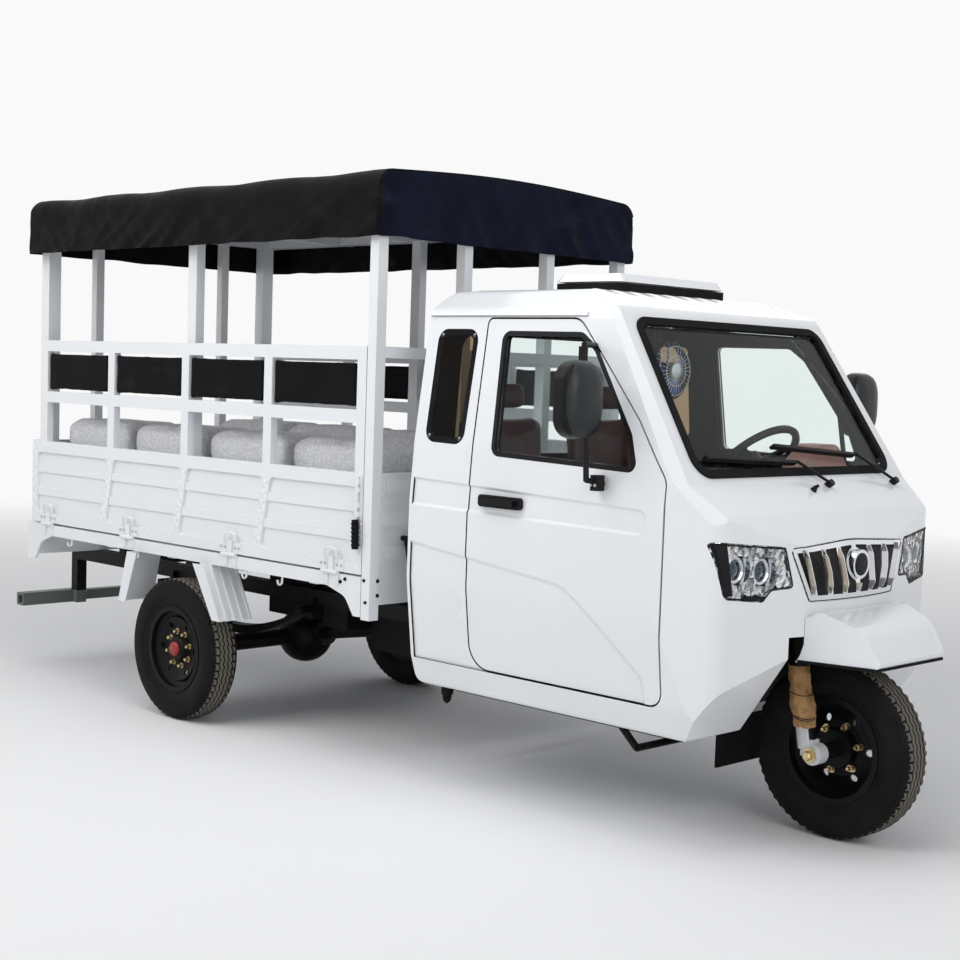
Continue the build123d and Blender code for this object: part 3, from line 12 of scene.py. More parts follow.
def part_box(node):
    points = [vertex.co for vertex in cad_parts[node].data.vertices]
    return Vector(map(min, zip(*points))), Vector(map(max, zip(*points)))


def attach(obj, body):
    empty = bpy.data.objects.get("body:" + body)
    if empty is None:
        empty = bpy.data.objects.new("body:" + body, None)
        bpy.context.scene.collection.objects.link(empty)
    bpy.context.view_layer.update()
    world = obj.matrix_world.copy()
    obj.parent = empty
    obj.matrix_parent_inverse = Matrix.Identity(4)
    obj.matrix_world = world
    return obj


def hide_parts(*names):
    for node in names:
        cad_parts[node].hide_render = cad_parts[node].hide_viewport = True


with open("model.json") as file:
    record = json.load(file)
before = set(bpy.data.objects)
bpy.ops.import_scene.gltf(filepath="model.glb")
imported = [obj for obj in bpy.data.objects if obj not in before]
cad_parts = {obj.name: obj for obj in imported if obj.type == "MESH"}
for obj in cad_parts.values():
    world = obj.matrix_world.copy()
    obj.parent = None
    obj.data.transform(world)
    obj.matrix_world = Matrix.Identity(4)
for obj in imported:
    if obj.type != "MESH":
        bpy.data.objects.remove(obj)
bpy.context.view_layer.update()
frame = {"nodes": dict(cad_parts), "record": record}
nodes = frame["nodes"]
scene = bpy.context.scene
AXLE_X = -0.8
SIDES = (("right", -1), ("left", 1))
FORWARD = Vector((1, 0, 0))
LEFTWARD = Vector((0, 1, 0))
UPWARD = Vector((0, 0, 1))
WELD = 1e-5
TINY = 1e-9
NOISE_SEED = 7
# the noise vectors of the creases are drawn from the clock unless they are seeded
noise.seed_set(NOISE_SEED)

# Camera that matches the photograph
CAMERA_PLACE = Vector((4.679, -4.475, 1.434))
CAMERA_AZIMUTH = radians(44.58)
CAMERA_ELEVATION = radians(4.713)
CAMERA_ROLL = radians(1.956)
CAMERA_LENS = 61.35
CAMERA_SENSOR = 36.0
CAMERA_SHIFT = (-0.0056, 0.0306)


def add_object(name, data):
    """New object in the scene."""
    obj = bpy.data.objects.new(name, data)
    scene.collection.objects.link(obj)
    return obj


def make_camera():
    """Camera at the photograph's place, with its roll and its off-centre frame."""
    back = Vector((
        sin(CAMERA_AZIMUTH) * cos(CAMERA_ELEVATION),
        -cos(CAMERA_AZIMUTH) * cos(CAMERA_ELEVATION),
        sin(CAMERA_ELEVATION),
    ))
    level = Vector((cos(CAMERA_AZIMUTH), sin(CAMERA_AZIMUTH), 0.0))
    above = back.cross(level)
    right = level * cos(CAMERA_ROLL) + above * sin(CAMERA_ROLL)
    up = back.cross(right)
    camera = add_object("camera", bpy.data.cameras.new("camera"))
    camera.data.sensor_width = CAMERA_SENSOR
    camera.data.lens = CAMERA_LENS
    camera.data.shift_x, camera.data.shift_y = CAMERA_SHIFT
    turn = Matrix((right, up, back)).transposed()
    camera.matrix_world = Matrix.Translation(CAMERA_PLACE) @ turn.to_4x4()
    scene.camera = camera


# Node graphs


class Tree:
    """Short calls that add nodes to the tree of a material or of the world."""

    def __init__(self, owner):
        owner.use_nodes = True
        self.tree = owner.node_tree

    def join(self, socket, value):
        if isinstance(value, bpy.types.NodeSocket):
            self.tree.links.new(value, socket)
        else:
            socket.default_value = value

    def fill(self, node, inputs):
        """Named inputs of a node set, or linked where the value is a socket."""
        for socket, value in inputs.items():
            self.join(node.inputs[socket.replace("_", " ")], value)
        return node

    def node(self, kind, **inputs):
        return self.fill(self.tree.nodes.new(kind), inputs)

    def math(self, operation, first, second):
        made = self.node("ShaderNodeMath")
        made.operation = operation
        self.join(made.inputs[0], first)
        self.join(made.inputs[1], second)
        return made.outputs[0]

    def show(self, factor, first, second, output):
        """Two shaders, mixed by a factor, led to the output."""
        mixed = self.node("ShaderNodeMixShader", Fac=factor)
        self.join(mixed.inputs[1], first.outputs[0])
        self.join(mixed.inputs[2], second.outputs[0])
        self.join(self.tree.nodes[output].inputs["Surface"], mixed.outputs[0])


class Graph(Tree):
    """One material and the patterns on it."""

    def __init__(self, name, base, roughness, **inputs):
        self.material = bpy.data.materials.new(name)
        super().__init__(self.material)
        self.shader = self.tree.nodes["Principled BSDF"]
        self.fill(self.shader, {"Base Color": (*base, 1.0), "Roughness": roughness, **inputs})
        self.place = self.node("ShaderNodeTexCoord").outputs["Object"]

    def set(self, socket, value):
        self.join(self.shader.inputs[socket], value)

    def noise(self, scale, detail=3.0, stretch=None):
        place = self.place
        if stretch:
            place = self.node("ShaderNodeMapping", Vector=place, Scale=stretch).outputs[0]
        return self.node("ShaderNodeTexNoise", Vector=place, Scale=scale, Detail=detail).outputs["Fac"]

    def cells(self, scale):
        """Outputs of a pattern of cells."""
        return self.node("ShaderNodeTexVoronoi", Vector=self.place, Scale=scale).outputs

    def part(self, vector, index):
        """One coordinate of a place or channel of a colour."""
        return self.node("ShaderNodeSeparateXYZ", Vector=vector).outputs[index]

    def ramp(self, factor, low, high, start=0.0, end=1.0):
        """Factor mapped from low..high to start..end, held at both ends."""
        limits = {"From_Min": low, "From_Max": high, "To_Min": start, "To_Max": end}
        return self.node("ShaderNodeMapRange", Value=factor, **limits).outputs["Result"]

    def mix(self, factor, first, second):
        """Colour between two colours."""
        made = self.node("ShaderNodeMix")
        made.data_type = "RGBA"
        self.join(made.inputs["Factor"], factor)
        for socket, colour in ((6, first), (7, second)):
            linked = isinstance(colour, bpy.types.NodeSocket)
            self.join(made.inputs[socket], colour if linked else (*colour, 1.0))
        return made.outputs[2]

    def bump(self, height, strength, distance):
        """Bump on top of those that are there."""
        made = self.node("ShaderNodeBump", Height=height, Strength=strength, Distance=distance)
        if self.shader.inputs["Normal"].is_linked:
            self.join(made.inputs["Normal"], self.shader.inputs["Normal"].links[0].from_socket)
        self.set("Normal", made.outputs["Normal"])


# Materials

# tint of the patches that make paint darker towards the bottom
DARKER_TINT = (0.55, 0.53, 0.50)
RUST = (0.23, 0.10, 0.04)


def shade(base, times, plus=0.0):
    """Darker or lighter tone of a colour."""
    return tuple(channel * times + plus for channel in base)


def paint(name, base, roughness, coat, darkening_low, rust=0.0, shine=0.5):
    """Sprayed paint: orange peel, patches that grow darker towards the bottom and, if wanted, rust specks."""
    graph = Graph(name, base, roughness, Coat_Weight=coat, Coat_Roughness=0.06, Specular_IOR_Level=shine)
    patches = graph.noise(2.2, 5.0)
    # patches darkened and warmed towards the bottom: full strength at 0.2 m up, none from 0.9 m
    low = graph.ramp(graph.part(graph.place, 2), 0.2, 0.9, darkening_low, 0.0)
    darker_patches = graph.math("MULTIPLY", low, graph.ramp(patches, 0.4, 0.7))
    colour = graph.mix(darker_patches, base, tuple(channel * share for channel, share in zip(base, DARKER_TINT)))
    if rust:
        specks = graph.ramp(graph.noise(38.0, 6.0), 0.70, 0.76)
        spread = graph.ramp(graph.noise(1.7, 2.0), 0.56, 0.68)
        rusty = graph.math("MULTIPLY", specks, graph.math("MULTIPLY", spread, rust))
        colour = graph.mix(rusty, colour, RUST)
    graph.set("Base Color", colour)
    graph.set("Roughness", graph.ramp(patches, 0.3, 0.7, roughness * 0.8, roughness * 1.25))
    graph.bump(graph.noise(260.0, 2.0), 0.02, 0.001)
    return graph.material


def rubber(name, base, roughness=0.75):
    """Matt rubber with a fine grain and a little grey bloom."""
    graph = Graph(name, base, roughness, Specular_IOR_Level=0.07)
    bloom = graph.ramp(graph.noise(9.0, 6.0), 0.45, 0.75, 0.0, 0.5)
    graph.set("Base Color", graph.mix(bloom, base, shade(base, 1.0, 0.014)))
    graph.bump(graph.noise(420.0), 0.12, 0.001)
    return graph.material


def plastic(name, base, roughness=0.5, shine=0.5):
    """Moulded plastic with a leather-like grain."""
    graph = Graph(name, base, roughness, Specular_IOR_Level=shine)
    graph.bump(graph.cells(340.0)["Distance"], 0.15, 0.0006)
    graph.set("Roughness", graph.ramp(graph.noise(14.0), 0.3, 0.7, roughness - 0.08, roughness + 0.08))
    return graph.material


def metal(name, base, roughness, brushed=0.0):
    """Bare or plated metal, with fine scratches along one way where it is brushed."""
    graph = Graph(name, base, roughness, Metallic=1.0)
    smear = graph.noise(6.0, 4.0)
    graph.set("Roughness", graph.ramp(smear, 0.3, 0.7, roughness * 0.7, roughness * 1.4))
    graph.set("Base Color", graph.mix(graph.ramp(smear, 0.35, 0.75), base, shade(base, 0.86)))
    if brushed:
        graph.bump(graph.noise(90.0, 2.0, (1.0, 12.0, 1.0)), brushed, 0.001)
    return graph.material


def painted_glint_reflector(name):
    """Lamp reflector of vacuum-plated plastic: small facets, coloured bright and dark as painted reflections.
    """
    graph = Graph(name, (0.8, 0.8, 0.8), 0.10, Metallic=1.0)
    cells = graph.cells(48.0)
    # painted reflection: some facets are coloured bright, the others dark
    share = graph.ramp(graph.part(cells["Color"], 0), 0.08, 0.42)
    graph.set("Base Color", graph.mix(share, (0.20, 0.21, 0.23), (0.96, 0.97, 0.98)))
    graph.set("Roughness", graph.ramp(graph.noise(20.0), 0.3, 0.7, 0.06, 0.16))
    graph.bump(cells["Distance"], 0.6, 0.010)
    return graph.material


def glass(name, base, roughness=0.02):
    """Clear or tinted pane with a faint film."""
    graph = Graph(name, base, roughness, Transmission_Weight=1.0, IOR=1.16)
    graph.set("Roughness", graph.ramp(graph.noise(3.0, 5.0), 0.45, 0.8, roughness, roughness + 0.05))
    return graph.material


def coated_cloth(name, base):
    """Coated canvas: fine weave, soft creases with a painted highlight on their ridges, and lighter spots that
    are painted sheen as well as rubbed wear.
    """
    graph = Graph(name, base, 0.45, Specular_IOR_Level=0.035)
    creases = graph.noise(5.0, 6.0, (1.0, 1.0, 0.5))
    # painted highlight: the colour grows lighter where the crease bump rises
    colour = graph.mix(graph.ramp(creases, 0.3, 0.75), base, shade(base, 1.8, 0.002))
    # lighter spots: painted sheen, and rubbed wear as well
    sheen_and_wear = graph.ramp(graph.noise(7.0, 8.0, (1.0, 1.0, 1.6)), 0.56, 0.74)
    graph.set("Base Color", graph.mix(sheen_and_wear, colour, shade(base, 2.0, 0.004)))
    graph.set("Roughness", graph.ramp(creases, 0.3, 0.7, 0.34, 0.6))
    for stretch in ((1.0, 0.02, 1.0), (0.02, 1.0, 1.0)):
        graph.bump(graph.noise(900.0, 1.0, stretch), 0.05, 0.0006)
    graph.bump(creases, 0.4, 0.012)
    return graph.material


def patterned_cloth(name, dark, light):
    """Woven cushion cloth with a small mottled pattern."""
    graph = Graph(name, dark, 0.85, Sheen_Weight=0.3)
    blots = graph.ramp(graph.cells(55.0)["Distance"], 0.25, 0.55)
    flecks = graph.ramp(graph.noise(120.0, 4.0), 0.45, 0.6)
    graph.set("Base Color", graph.mix(graph.math("MULTIPLY", blots, flecks), dark, light))
    graph.bump(graph.noise(700.0, 2.0), 0.2, 0.001)
    return graph.material


def paper(name, base):
    """Wrapping paper: fibres, creases and darker stains."""
    graph = Graph(name, base, 0.85, Specular_IOR_Level=0.25)
    stains = graph.ramp(graph.noise(26.0, 5.0), 0.45, 0.72)
    graph.set("Base Color", graph.mix(stains, base, shade(base, 0.45)))
    graph.bump(graph.noise(85.0, 6.0), 0.35, 0.003)
    return graph.material


def leathercloth(name, base):
    """Soft seat leathercloth with pores."""
    graph = Graph(name, base, 0.45)
    graph.bump(graph.cells(260.0)["Distance"], 0.22, 0.001)
    mottle = graph.ramp(graph.noise(11.0, 4.0), 0.4, 0.7)
    graph.set("Base Color", graph.mix(mottle, base, shade(base, 0.55)))
    return graph.material


white_gloss = paint("white_gloss", (0.80, 0.82, 0.84), 0.22, 0.45, 0.10)
white_bed = paint("white_bed", (0.78, 0.80, 0.82), 0.34, 0.35, 0.18, rust=0.7)
black_paint = paint("black_paint", (0.005, 0.005, 0.0055), 0.42, 0.0, 0.15, shine=0.12)
grey_primer = paint("grey_primer", (0.125, 0.150, 0.130), 0.5, 0.0, 0.3, rust=0.5, shine=0.3)
red_paint = paint("red_paint", (0.30, 0.020, 0.022), 0.35, 0.3, 0.0, shine=0.3)
# cast metal coloured near black
dark_cast_metal = paint("dark_cast_metal", (0.008, 0.008, 0.008), 0.6, 0.0, 0.2, shine=0.1)
satin_steel = paint("satin_steel", (0.62, 0.63, 0.64), 0.35, 0.2, 0.2)
chrome = metal("chrome", (0.78, 0.80, 0.82), 0.09)
# painted reflection for the side faces of the grille fins
fin_side_reflection = metal("fin_side_reflection", (0.46, 0.41, 0.34), 0.12)
dark_chrome = metal("dark_chrome", (0.16, 0.16, 0.17), 0.14)
brass = metal("brass", (0.60, 0.49, 0.28), 0.34)
zinc = metal("zinc", (0.60, 0.61, 0.62), 0.35, brushed=0.1)
reflector = painted_glint_reflector("reflector")
black_rubber = rubber("black_rubber", (0.008, 0.008, 0.0085))
tyre_rubber = rubber("tyre_rubber", (0.009, 0.009, 0.009), 0.62)
# painted highlight: the tread tops are coloured far lighter and browner than the tyre's rubber
tread_highlight = rubber("tread_highlight", (0.150, 0.136, 0.118), 0.8)
black_plastic = plastic("black_plastic", (0.006, 0.006, 0.007), 0.42, 0.16)
# painted shade of the cab's inside, laid on its inner faces
cab_inside_shade = plastic("cab_inside_shade", (0.007, 0.007, 0.008), 0.7, 0.06)
mirror_plastic = plastic("mirror_plastic", (0.020, 0.024, 0.025), 0.36, 0.25)
brown_plastic = plastic("brown_plastic", (0.33, 0.16, 0.14))
blue_plastic = plastic("blue_plastic", (0.012, 0.07, 0.32), 0.25)
clear_glass = glass("clear_glass", (0.90, 0.95, 0.94))
tinted_glass = glass("tinted_glass", (0.30, 0.21, 0.13))
dark_glass = glass("dark_glass", (0.30, 0.33, 0.36))
lamp_glass = glass("lamp_glass", (0.97, 0.98, 0.99), 0.0)
red_lens = glass("red_lens", (0.55, 0.02, 0.02), 0.1)
black_canvas = coated_cloth("black_canvas", (0.0035, 0.0035, 0.004))
navy_canvas = coated_cloth("navy_canvas", (0.0035, 0.0048, 0.012))
black_vinyl = coated_cloth("black_vinyl", (0.0035, 0.0035, 0.004))
cushion_cloth = patterned_cloth("cushion_cloth", (0.70, 0.70, 0.72), (0.90, 0.90, 0.92))
seat_cloth = leathercloth("seat_cloth", (0.075, 0.020, 0.024))
kraft_paper = paper("kraft_paper", (0.42, 0.24, 0.105))
NODE_MATERIALS = {
    "white_paint": white_gloss,
    "black_steel": black_paint,
    "grey_steel": grey_primer,
    "glass_clear": clear_glass,
    "glass_tint": tinted_glass,
    "rubber_black": black_rubber,
    "tyre_rubber": tyre_rubber,
    "chrome": chrome,
    "lamp_lens": lamp_glass,
    "lamp_red": red_lens,
    "black_plastic": black_plastic,
    "canopy_vinyl": black_canvas,
    "pad_vinyl": black_vinyl,
    "cushion_cloth": cushion_cloth,
    "seat_leather": seat_cloth,
    "aluminium_cast": dark_cast_metal,
    "dash_plastic": brown_plastic,
}
BED_NODES = ("bed_", "gate_", "cage_", "tailgate", "bench_", "wheel_flaps")
CAB_PANELS = (
    "cab_roof", "cab_rear_wall", "cab_quarters", "cab_front", "cab_floor", "door_right", "door_left",
)
CAB_MIDDLE = Vector((1.06, 0.0, 1.05))
INWARD_DOT = -0.25
FORK_LEG_Y = 0.135
FORK_END_REACH = 0.042
FORK_END_TOP = 0.40


def second_material(mesh, material, test):
    """A further material for the faces of a mesh that the test of their centre and normal picks."""
    mesh.materials.append(material)
    index = len(mesh.materials) - 1
    for face in mesh.polygons:
        if test(face.center, face.normal):
            face.material_index = index


def is_inner(place, normal):
    return (place - CAB_MIDDLE).normalized().dot(normal) < INWARD_DOT


def is_rear_window(place, normal):
    return abs(normal.x) > 0.7 and abs(place.y) < 0.5


def is_fork_end(place, normal):
    return abs(abs(place.y) - FORK_LEG_Y) < FORK_END_REACH and place.z < FORK_END_TOP


def dress_nodes():
    """Each CAD node takes the material of its slot; a few get a second one."""
    for row in frame["record"]["subparts"]:
        mesh = nodes[row["node"]].data
        material = NODE_MATERIALS[row["material_slot"]]
        if material == white_gloss and row["node"].startswith(BED_NODES):
            material = white_bed
        mesh.materials.clear()
        mesh.materials.append(material)
        if row["node"] in CAB_PANELS:
            for face in mesh.polygons:
                face.material_index = 0
            # painted shade: every inward face of the cab's panels is coloured near black
            second_material(mesh, cab_inside_shade, is_inner)
    second_material(nodes["cab_windows"].data, clear_glass, is_rear_window)
    second_material(nodes["front_fork"].data, satin_steel, is_fork_end)
    second_material(nodes["headlamp_housings"].data, reflector, lambda place, normal: normal.x > 0.25)


# Mesh pieces


def at(x, y, z):
    """Point whose x counts from the rear axle, in the frame of the scene."""
    return Vector((x + AXLE_X, y, z))


def turns(count, extra=0, shift=0.0):
    """Angles of equal steps round a circle, with extra steps past its start."""
    return [2 * pi * (step + shift) / count for step in range(count + extra)]


def half_turn(count):
    """Angles of equal steps from 0 to 180 degrees."""
    return [pi * step / count for step in range(count + 1)]


def spoke(turn):
    """Direction at an angle in the plane of a wheel."""
    return Vector((cos(turn), 0, sin(turn)))


def circle(centre, across, beside, radius, sides):
    return [centre + (across * cos(turn) + beside * sin(turn)) * radius for turn in turns(sides)]


def clean(mesh, weld=False, outward=True):
    """Coinciding points joined and faces turned outward, as asked."""
    work = bmesh.new()
    work.from_mesh(mesh)
    if weld:
        bmesh.ops.remove_doubles(work, verts=work.verts, dist=WELD)
    if outward:
        bmesh.ops.recalc_face_normals(work, faces=work.faces)
    work.to_mesh(mesh)
    work.free()


class Shape:
    """Points and faces of one joined piece."""

    def __init__(self):
        self.points = []
        self.faces = []

    def add(self, points, faces):
        first = len(self.points)
        self.points.extend(tuple(point) for point in points)
        self.faces.extend(tuple(first + index for index in face) for face in faces)

    def loft(self, rings, closed=True, capped=True):
        """Skin between rings with the same number of points."""
        count = len(rings[0])
        points = [point for ring in rings for point in ring]
        faces = []
        for level in range(len(rings) - 1):
            low = level * count
            for index in range(count if closed else count - 1):
                after = (index + 1) % count
                faces.append((low + index, low + after, low + count + after, low + count + index))
        if capped:
            faces.append(tuple(reversed(range(count))))
            faces.append(tuple(range(len(points) - count, len(points))))
        self.add(points, faces)
        return self

    def turned(self, start, axis, profile, sides):
        """Solid of revolution: profile is (distance along the axis, radius) pairs from its start."""
        axis = Vector(axis).normalized()
        across = axis.orthogonal().normalized()
        beside = axis.cross(across)
        return self.loft([
            circle(Vector(start) + axis * along, across, beside, radius, sides) for along, radius in profile
        ])

    def bolt(self, place, axis, radius, height):
        """Hexagon head with a washer below and a chamfer on top."""
        self.turned(place, axis, [(0, radius * 1.5), (height * 0.2, radius * 1.5)], 14)
        top = Vector(place) + Vector(axis).normalized() * height * 0.2
        return self.turned(top, axis, [(0, radius), (height * 0.7, radius), (height * 0.85, radius * 0.8)], 6)

    def tube(self, path, radius, sides=8):
        """Round bar along a path of points."""
        path = [Vector(point) for point in path]
        rings = []
        across = (path[1] - path[0]).orthogonal().normalized()
        for index, point in enumerate(path):
            along = (path[min(index + 1, len(path) - 1)] - path[max(index - 1, 0)]).normalized()
            across = (across - along * across.dot(along)).normalized()
            rings.append(circle(point, across, along.cross(across), radius, sides))
        return self.loft(rings)

    def slab(self, xs, ys, zs, bevel):
        """Box between limits in any order, x from the rear axle, its corners cut along z."""
        (x0, x1), (y0, y1), (z0, z1) = sorted(xs), sorted(ys), sorted(zs)
        outline = (
            (x0 + bevel, y0), (x1 - bevel, y0), (x1, y0 + bevel), (x1, y1 - bevel),
            (x1 - bevel, y1), (x0 + bevel, y1), (x0, y1 - bevel), (x0, y0 + bevel),
        )
        self.loft([[at(x, y, z) for x, y in outline] for z in (z0, z1)])

    def make(self, name, material, body, slot, smooth=True, angle=40.0):
        """The piece, riding on a body."""
        mesh = bpy.data.meshes.new(name)
        mesh.from_pydata(self.points, [], self.faces)
        obj = add_object(name, mesh)
        mesh.materials.append(material)
        clean(mesh)
        if smooth:
            mesh.shade_smooth()
            mesh.set_sharp_from_angle(angle=radians(angle))
        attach(obj, body)
        return obj


# Stage: pale floor, soft lamps and a bright world

FLOOR_HALF = 40.0
FLOOR_FADE = (3.0, 11.0)
BACKDROP = (0.95, 0.95, 0.95, 1.0)
SKY = (0.93, 0.95, 1.0, 1.0)
WORLD_LIGHT = 0.34
# name, place, point it faces, size in m, power in W
LIGHTS = (
    ("light_top", (0.5, -1.5, 5.5), (0.2, 0.0, 0.8), (5.0, 3.5), 105.0),
    ("light_front", (6.0, -2.0, 3.0), (1.0, 0.0, 1.0), (3.0, 3.0), 78.0),
    ("light_side", (-1.2, -5.0, 4.6), (-0.2, 0.0, 0.9), (5.0, 3.0), 152.0),
    ("light_left", (-2.5, 5.5, 4.2), (-0.2, 0.0, 0.9), (4.0, 2.5), 48.0),
)


def make_stage():
    """Floor that fades to the white backdrop, lamps, and a world that is white where it is seen."""
    corners = [(x * FLOOR_HALF, y * FLOOR_HALF, 0) for x, y in ((-1, -1), (1, -1), (1, 1), (-1, 1))]
    mesh = bpy.data.meshes.new("floor")
    mesh.from_pydata(corners, [], [(0, 1, 2, 3)])
    graph = Graph("floor", (0.86, 0.86, 0.86), 0.9, Specular_IOR_Level=0.1)
    reach = graph.node("ShaderNodeVectorMath", Vector=graph.place)
    reach.operation = "LENGTH"
    glow = graph.node("ShaderNodeEmission", Color=BACKDROP, Strength=1.0)
    graph.show(graph.ramp(reach.outputs["Value"], *FLOOR_FADE), graph.shader, glow, "Material Output")
    mesh.materials.append(graph.material)
    add_object("floor", mesh)
    for name, place, aim, size, power in LIGHTS:
        lamp = bpy.data.lights.new(name, "AREA")
        lamp.shape = "RECTANGLE"
        lamp.size, lamp.size_y = size
        lamp.energy = power
        holder = add_object(name, lamp)
        holder.location = place
        holder.rotation_mode = "QUATERNION"
        holder.rotation_quaternion = (Vector(aim) - Vector(place)).to_track_quat("-Z", "Y")
    scene.world = bpy.data.worlds.new("world")
    sky = Tree(scene.world)
    background = sky.fill(sky.tree.nodes["Background"], {"Color": SKY, "Strength": WORLD_LIGHT})
    bright = sky.node("ShaderNodeBackground", Color=BACKDROP)
    rays = sky.node("ShaderNodeLightPath").outputs
    share = rays["Is Camera Ray"]
    for kind in ("Is Glossy Ray", "Is Transmission Ray"):
        share = sky.math("MAXIMUM", share, rays[kind])
    sky.show(share, background, bright, "World Output")


# Tyres with a zigzag road tread

TREAD_PERIODS = 56
GROOVES = (-0.030, -0.010, 0.010, 0.030)
GROOVE_HALF = 0.0028
GROOVE_DEPTH = 0.007
ZIGZAG = (0.0, 0.0035, 0.0, -0.0035)
NOTCHES = (0.0, 0.0, 0.006, 0.006)
CROWN = 0.7
SHOULDER = (0.046, 0.0015)
TREAD_TOP = 0.003
# half width and radius down one side of the tyre, from the tread edge to the bead
SIDEWALL = (
    (0.0545, 0.2800), (0.0600, 0.2725), (0.0625, 0.2640), (0.0650, 0.2630), (0.0672, 0.2500),
    (0.0686, 0.2360), (0.0690, 0.2230), (0.0680, 0.2120), (0.0655, 0.2035), (0.0640, 0.2030),
    (0.0590, 0.1900), (0.0540, 0.1790), (0.0520, 0.1740), (0.0520, 0.1605),
)


def make_tyre(node, body):
    """Tyre round the CAD tyre's axis, with four zigzag grooves and notched shoulders."""
    low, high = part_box(node)
    centre = (low + high) / 2
    outer = (high.z - low.z) / 2
    rings = []
    for step, turn in enumerate(turns(TREAD_PERIODS * 4)):
        swing, notch = ZIGZAG[step % 4], NOTCHES[step % 4]
        (edge_half, edge_radius), *wall = SIDEWALL
        flank = [(SHOULDER[0], outer - SHOULDER[1] - notch), (edge_half, edge_radius - notch), *wall]
        section = [(-half, radius) for half, radius in reversed(flank)]
        for groove in GROOVES:
            middle = groove + swing
            top, floor = outer - CROWN * middle * middle, outer - GROOVE_DEPTH
            for share, radius in ((-1.0, top), (-0.5, floor), (0.5, floor), (1.0, top)):
                section.append((middle + share * GROOVE_HALF, radius))
        section += flank
        rings.append([
            centre + Vector((sin(turn) * radius, across, cos(turn) * radius)) for across, radius in section
        ])
    rings.append(rings[0])
    shape = Shape().loft(rings, closed=False, capped=False)
    tyre = shape.make(node + "_tread", tyre_rubber, body, "tyre_rubber", angle=32.0)
    clean(tyre.data, weld=True)

    def is_tread(place, normal):
        return hypot(place.x - centre.x, place.z - centre.z) > outer - TREAD_TOP

    # painted highlight on the tops of the tread
    second_material(tyre.data, tread_highlight, is_tread)
    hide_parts(node)


# Soft pieces

PAD_VOXEL = 0.007
CUSHION_VOXEL = 0.0105
SEAT_VOXEL = 0.0115
PRESSURE = 4.0
STEPS = 20


def coordinates(mesh):
    """Points of a mesh as an array."""
    flat = np.empty(len(mesh.vertices) * 3, dtype=np.float32)
    mesh.vertices.foreach_get("co", flat)
    return flat.reshape(-1, 3).astype(np.float64)


def round_outline(corners, steps=5):
    """Outline whose corners (u, v, radius) are rounded."""
    outline = []
    count = len(corners)
    for index, (u, v, radius) in enumerate(corners):
        here = Vector((u, v))
        before = (Vector(corners[index - 1][:2]) - here).normalized()
        after = (Vector(corners[(index + 1) % count][:2]) - here).normalized()
        run = radius / tan(before.angle(after) / 2)
        first, last = here + before * run, here + after * run
        for step in range(steps + 1):
            share = step / steps
            outline.append(tuple(first.lerp(here, share).lerp(here.lerp(last, share), share)))
    return outline


def rectangle(length, width, inset, radius):
    """Outline of a rectangle that is drawn in by an inset and has rounded corners."""
    far, top = length - inset, width - inset
    corners = ((inset, inset), (far, inset), (far, top), (inset, top))
    return round_outline([(u, v, radius) for u, v in corners])


def pillow(outline, depth, edge, place):
    """Closed form: a rounded outline in u and v, drawn out along w with softened ends."""
    middle = np.mean(outline, axis=0)
    reach = np.abs(np.array(outline) - middle).max(axis=0)
    end = ((1.0, 0.0), (0.3, edge * 0.3), (0.0, edge))
    rings = []
    for share, w in (*end, *((share, depth - w) for share, w in reversed(end))):
        shrink = 1.0 - share * edge / reach
        rings.append([place(*((np.array(point) - middle) * shrink + middle), w) for point in outline])
    return Shape().loft(rings)


def puff(name, shape, cap, voxel):
    """Shape remeshed and filled out by cloth simulation with pressure, no point moving past the cap."""
    mesh = bpy.data.meshes.new(name)
    mesh.from_pydata(shape.points, [], shape.faces)
    clean(mesh)
    obj = add_object(name, mesh)
    remesh = obj.modifiers.new("remesh", "REMESH")
    remesh.mode = "VOXEL"
    remesh.voxel_size = voxel
    graph = bpy.context.evaluated_depsgraph_get()
    rest = bpy.data.meshes.new_from_object(obj.evaluated_get(graph))
    obj.modifiers.clear()
    obj.data = rest
    points = coordinates(rest)
    cloth = obj.modifiers.new("cloth", "CLOTH")
    cloth.settings.use_pressure = True
    cloth.settings.uniform_pressure_force = PRESSURE
    cloth.settings.effector_weights.gravity = 0.0
    for step in range(1, STEPS + 1):
        scene.frame_set(step)
    graph = bpy.context.evaluated_depsgraph_get()
    swollen = bpy.data.meshes.new_from_object(obj.evaluated_get(graph))
    move = coordinates(swollen) - points
    length = np.linalg.norm(move, axis=1, keepdims=True)
    points = points + move * np.minimum(1.0, cap / np.maximum(length, TINY))
    bpy.data.meshes.remove(swollen)
    scene.frame_set(1)
    faces = [tuple(face.vertices) for face in rest.polygons]
    bpy.data.objects.remove(obj)
    return points, faces


def crease(points, size, depth, seed):
    """Points pushed about by fine ridged noise, for the small folds of a cover."""
    out = points.copy()
    for index, point in enumerate(points):
        spot = Vector(point) / size + Vector((seed, 0, 0))
        ridge = 1.0 - 2.0 * abs(noise.noise(spot))
        out[index] += np.array(noise.noise_vector(spot)) * depth * max(ridge, 0.0) ** 2
    return out


def move_to(points, x, y, z, sign):
    """Points moved to a place whose y is mirrored by the sign."""
    moved = points + (x, y, z)
    moved[:, 1] *= sign
    return moved


def limits(xs, ys, zs, sign):
    """Low and high corner of a box whose y is mirrored by the sign."""
    return list(zip(xs, sorted(sign * y for y in ys), zs))


def soft_piece(name, points, faces, box, look, node, coarse=True):
    """Padded piece held inside a box, in place of a node; a coarse one gets one subdivision."""
    material, body, slot, fill = look
    shape = Shape()
    shape.add(np.clip(points, *box), faces)
    piece = shape.make(name, material, body, slot, angle=70.0)
    if coarse:
        smooth = piece.modifiers.new("smooth", "SUBSURF")
        smooth.levels = 1
        smooth.render_levels = 1
    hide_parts(node)


# Bench cushions: one is simulated and set out eight times

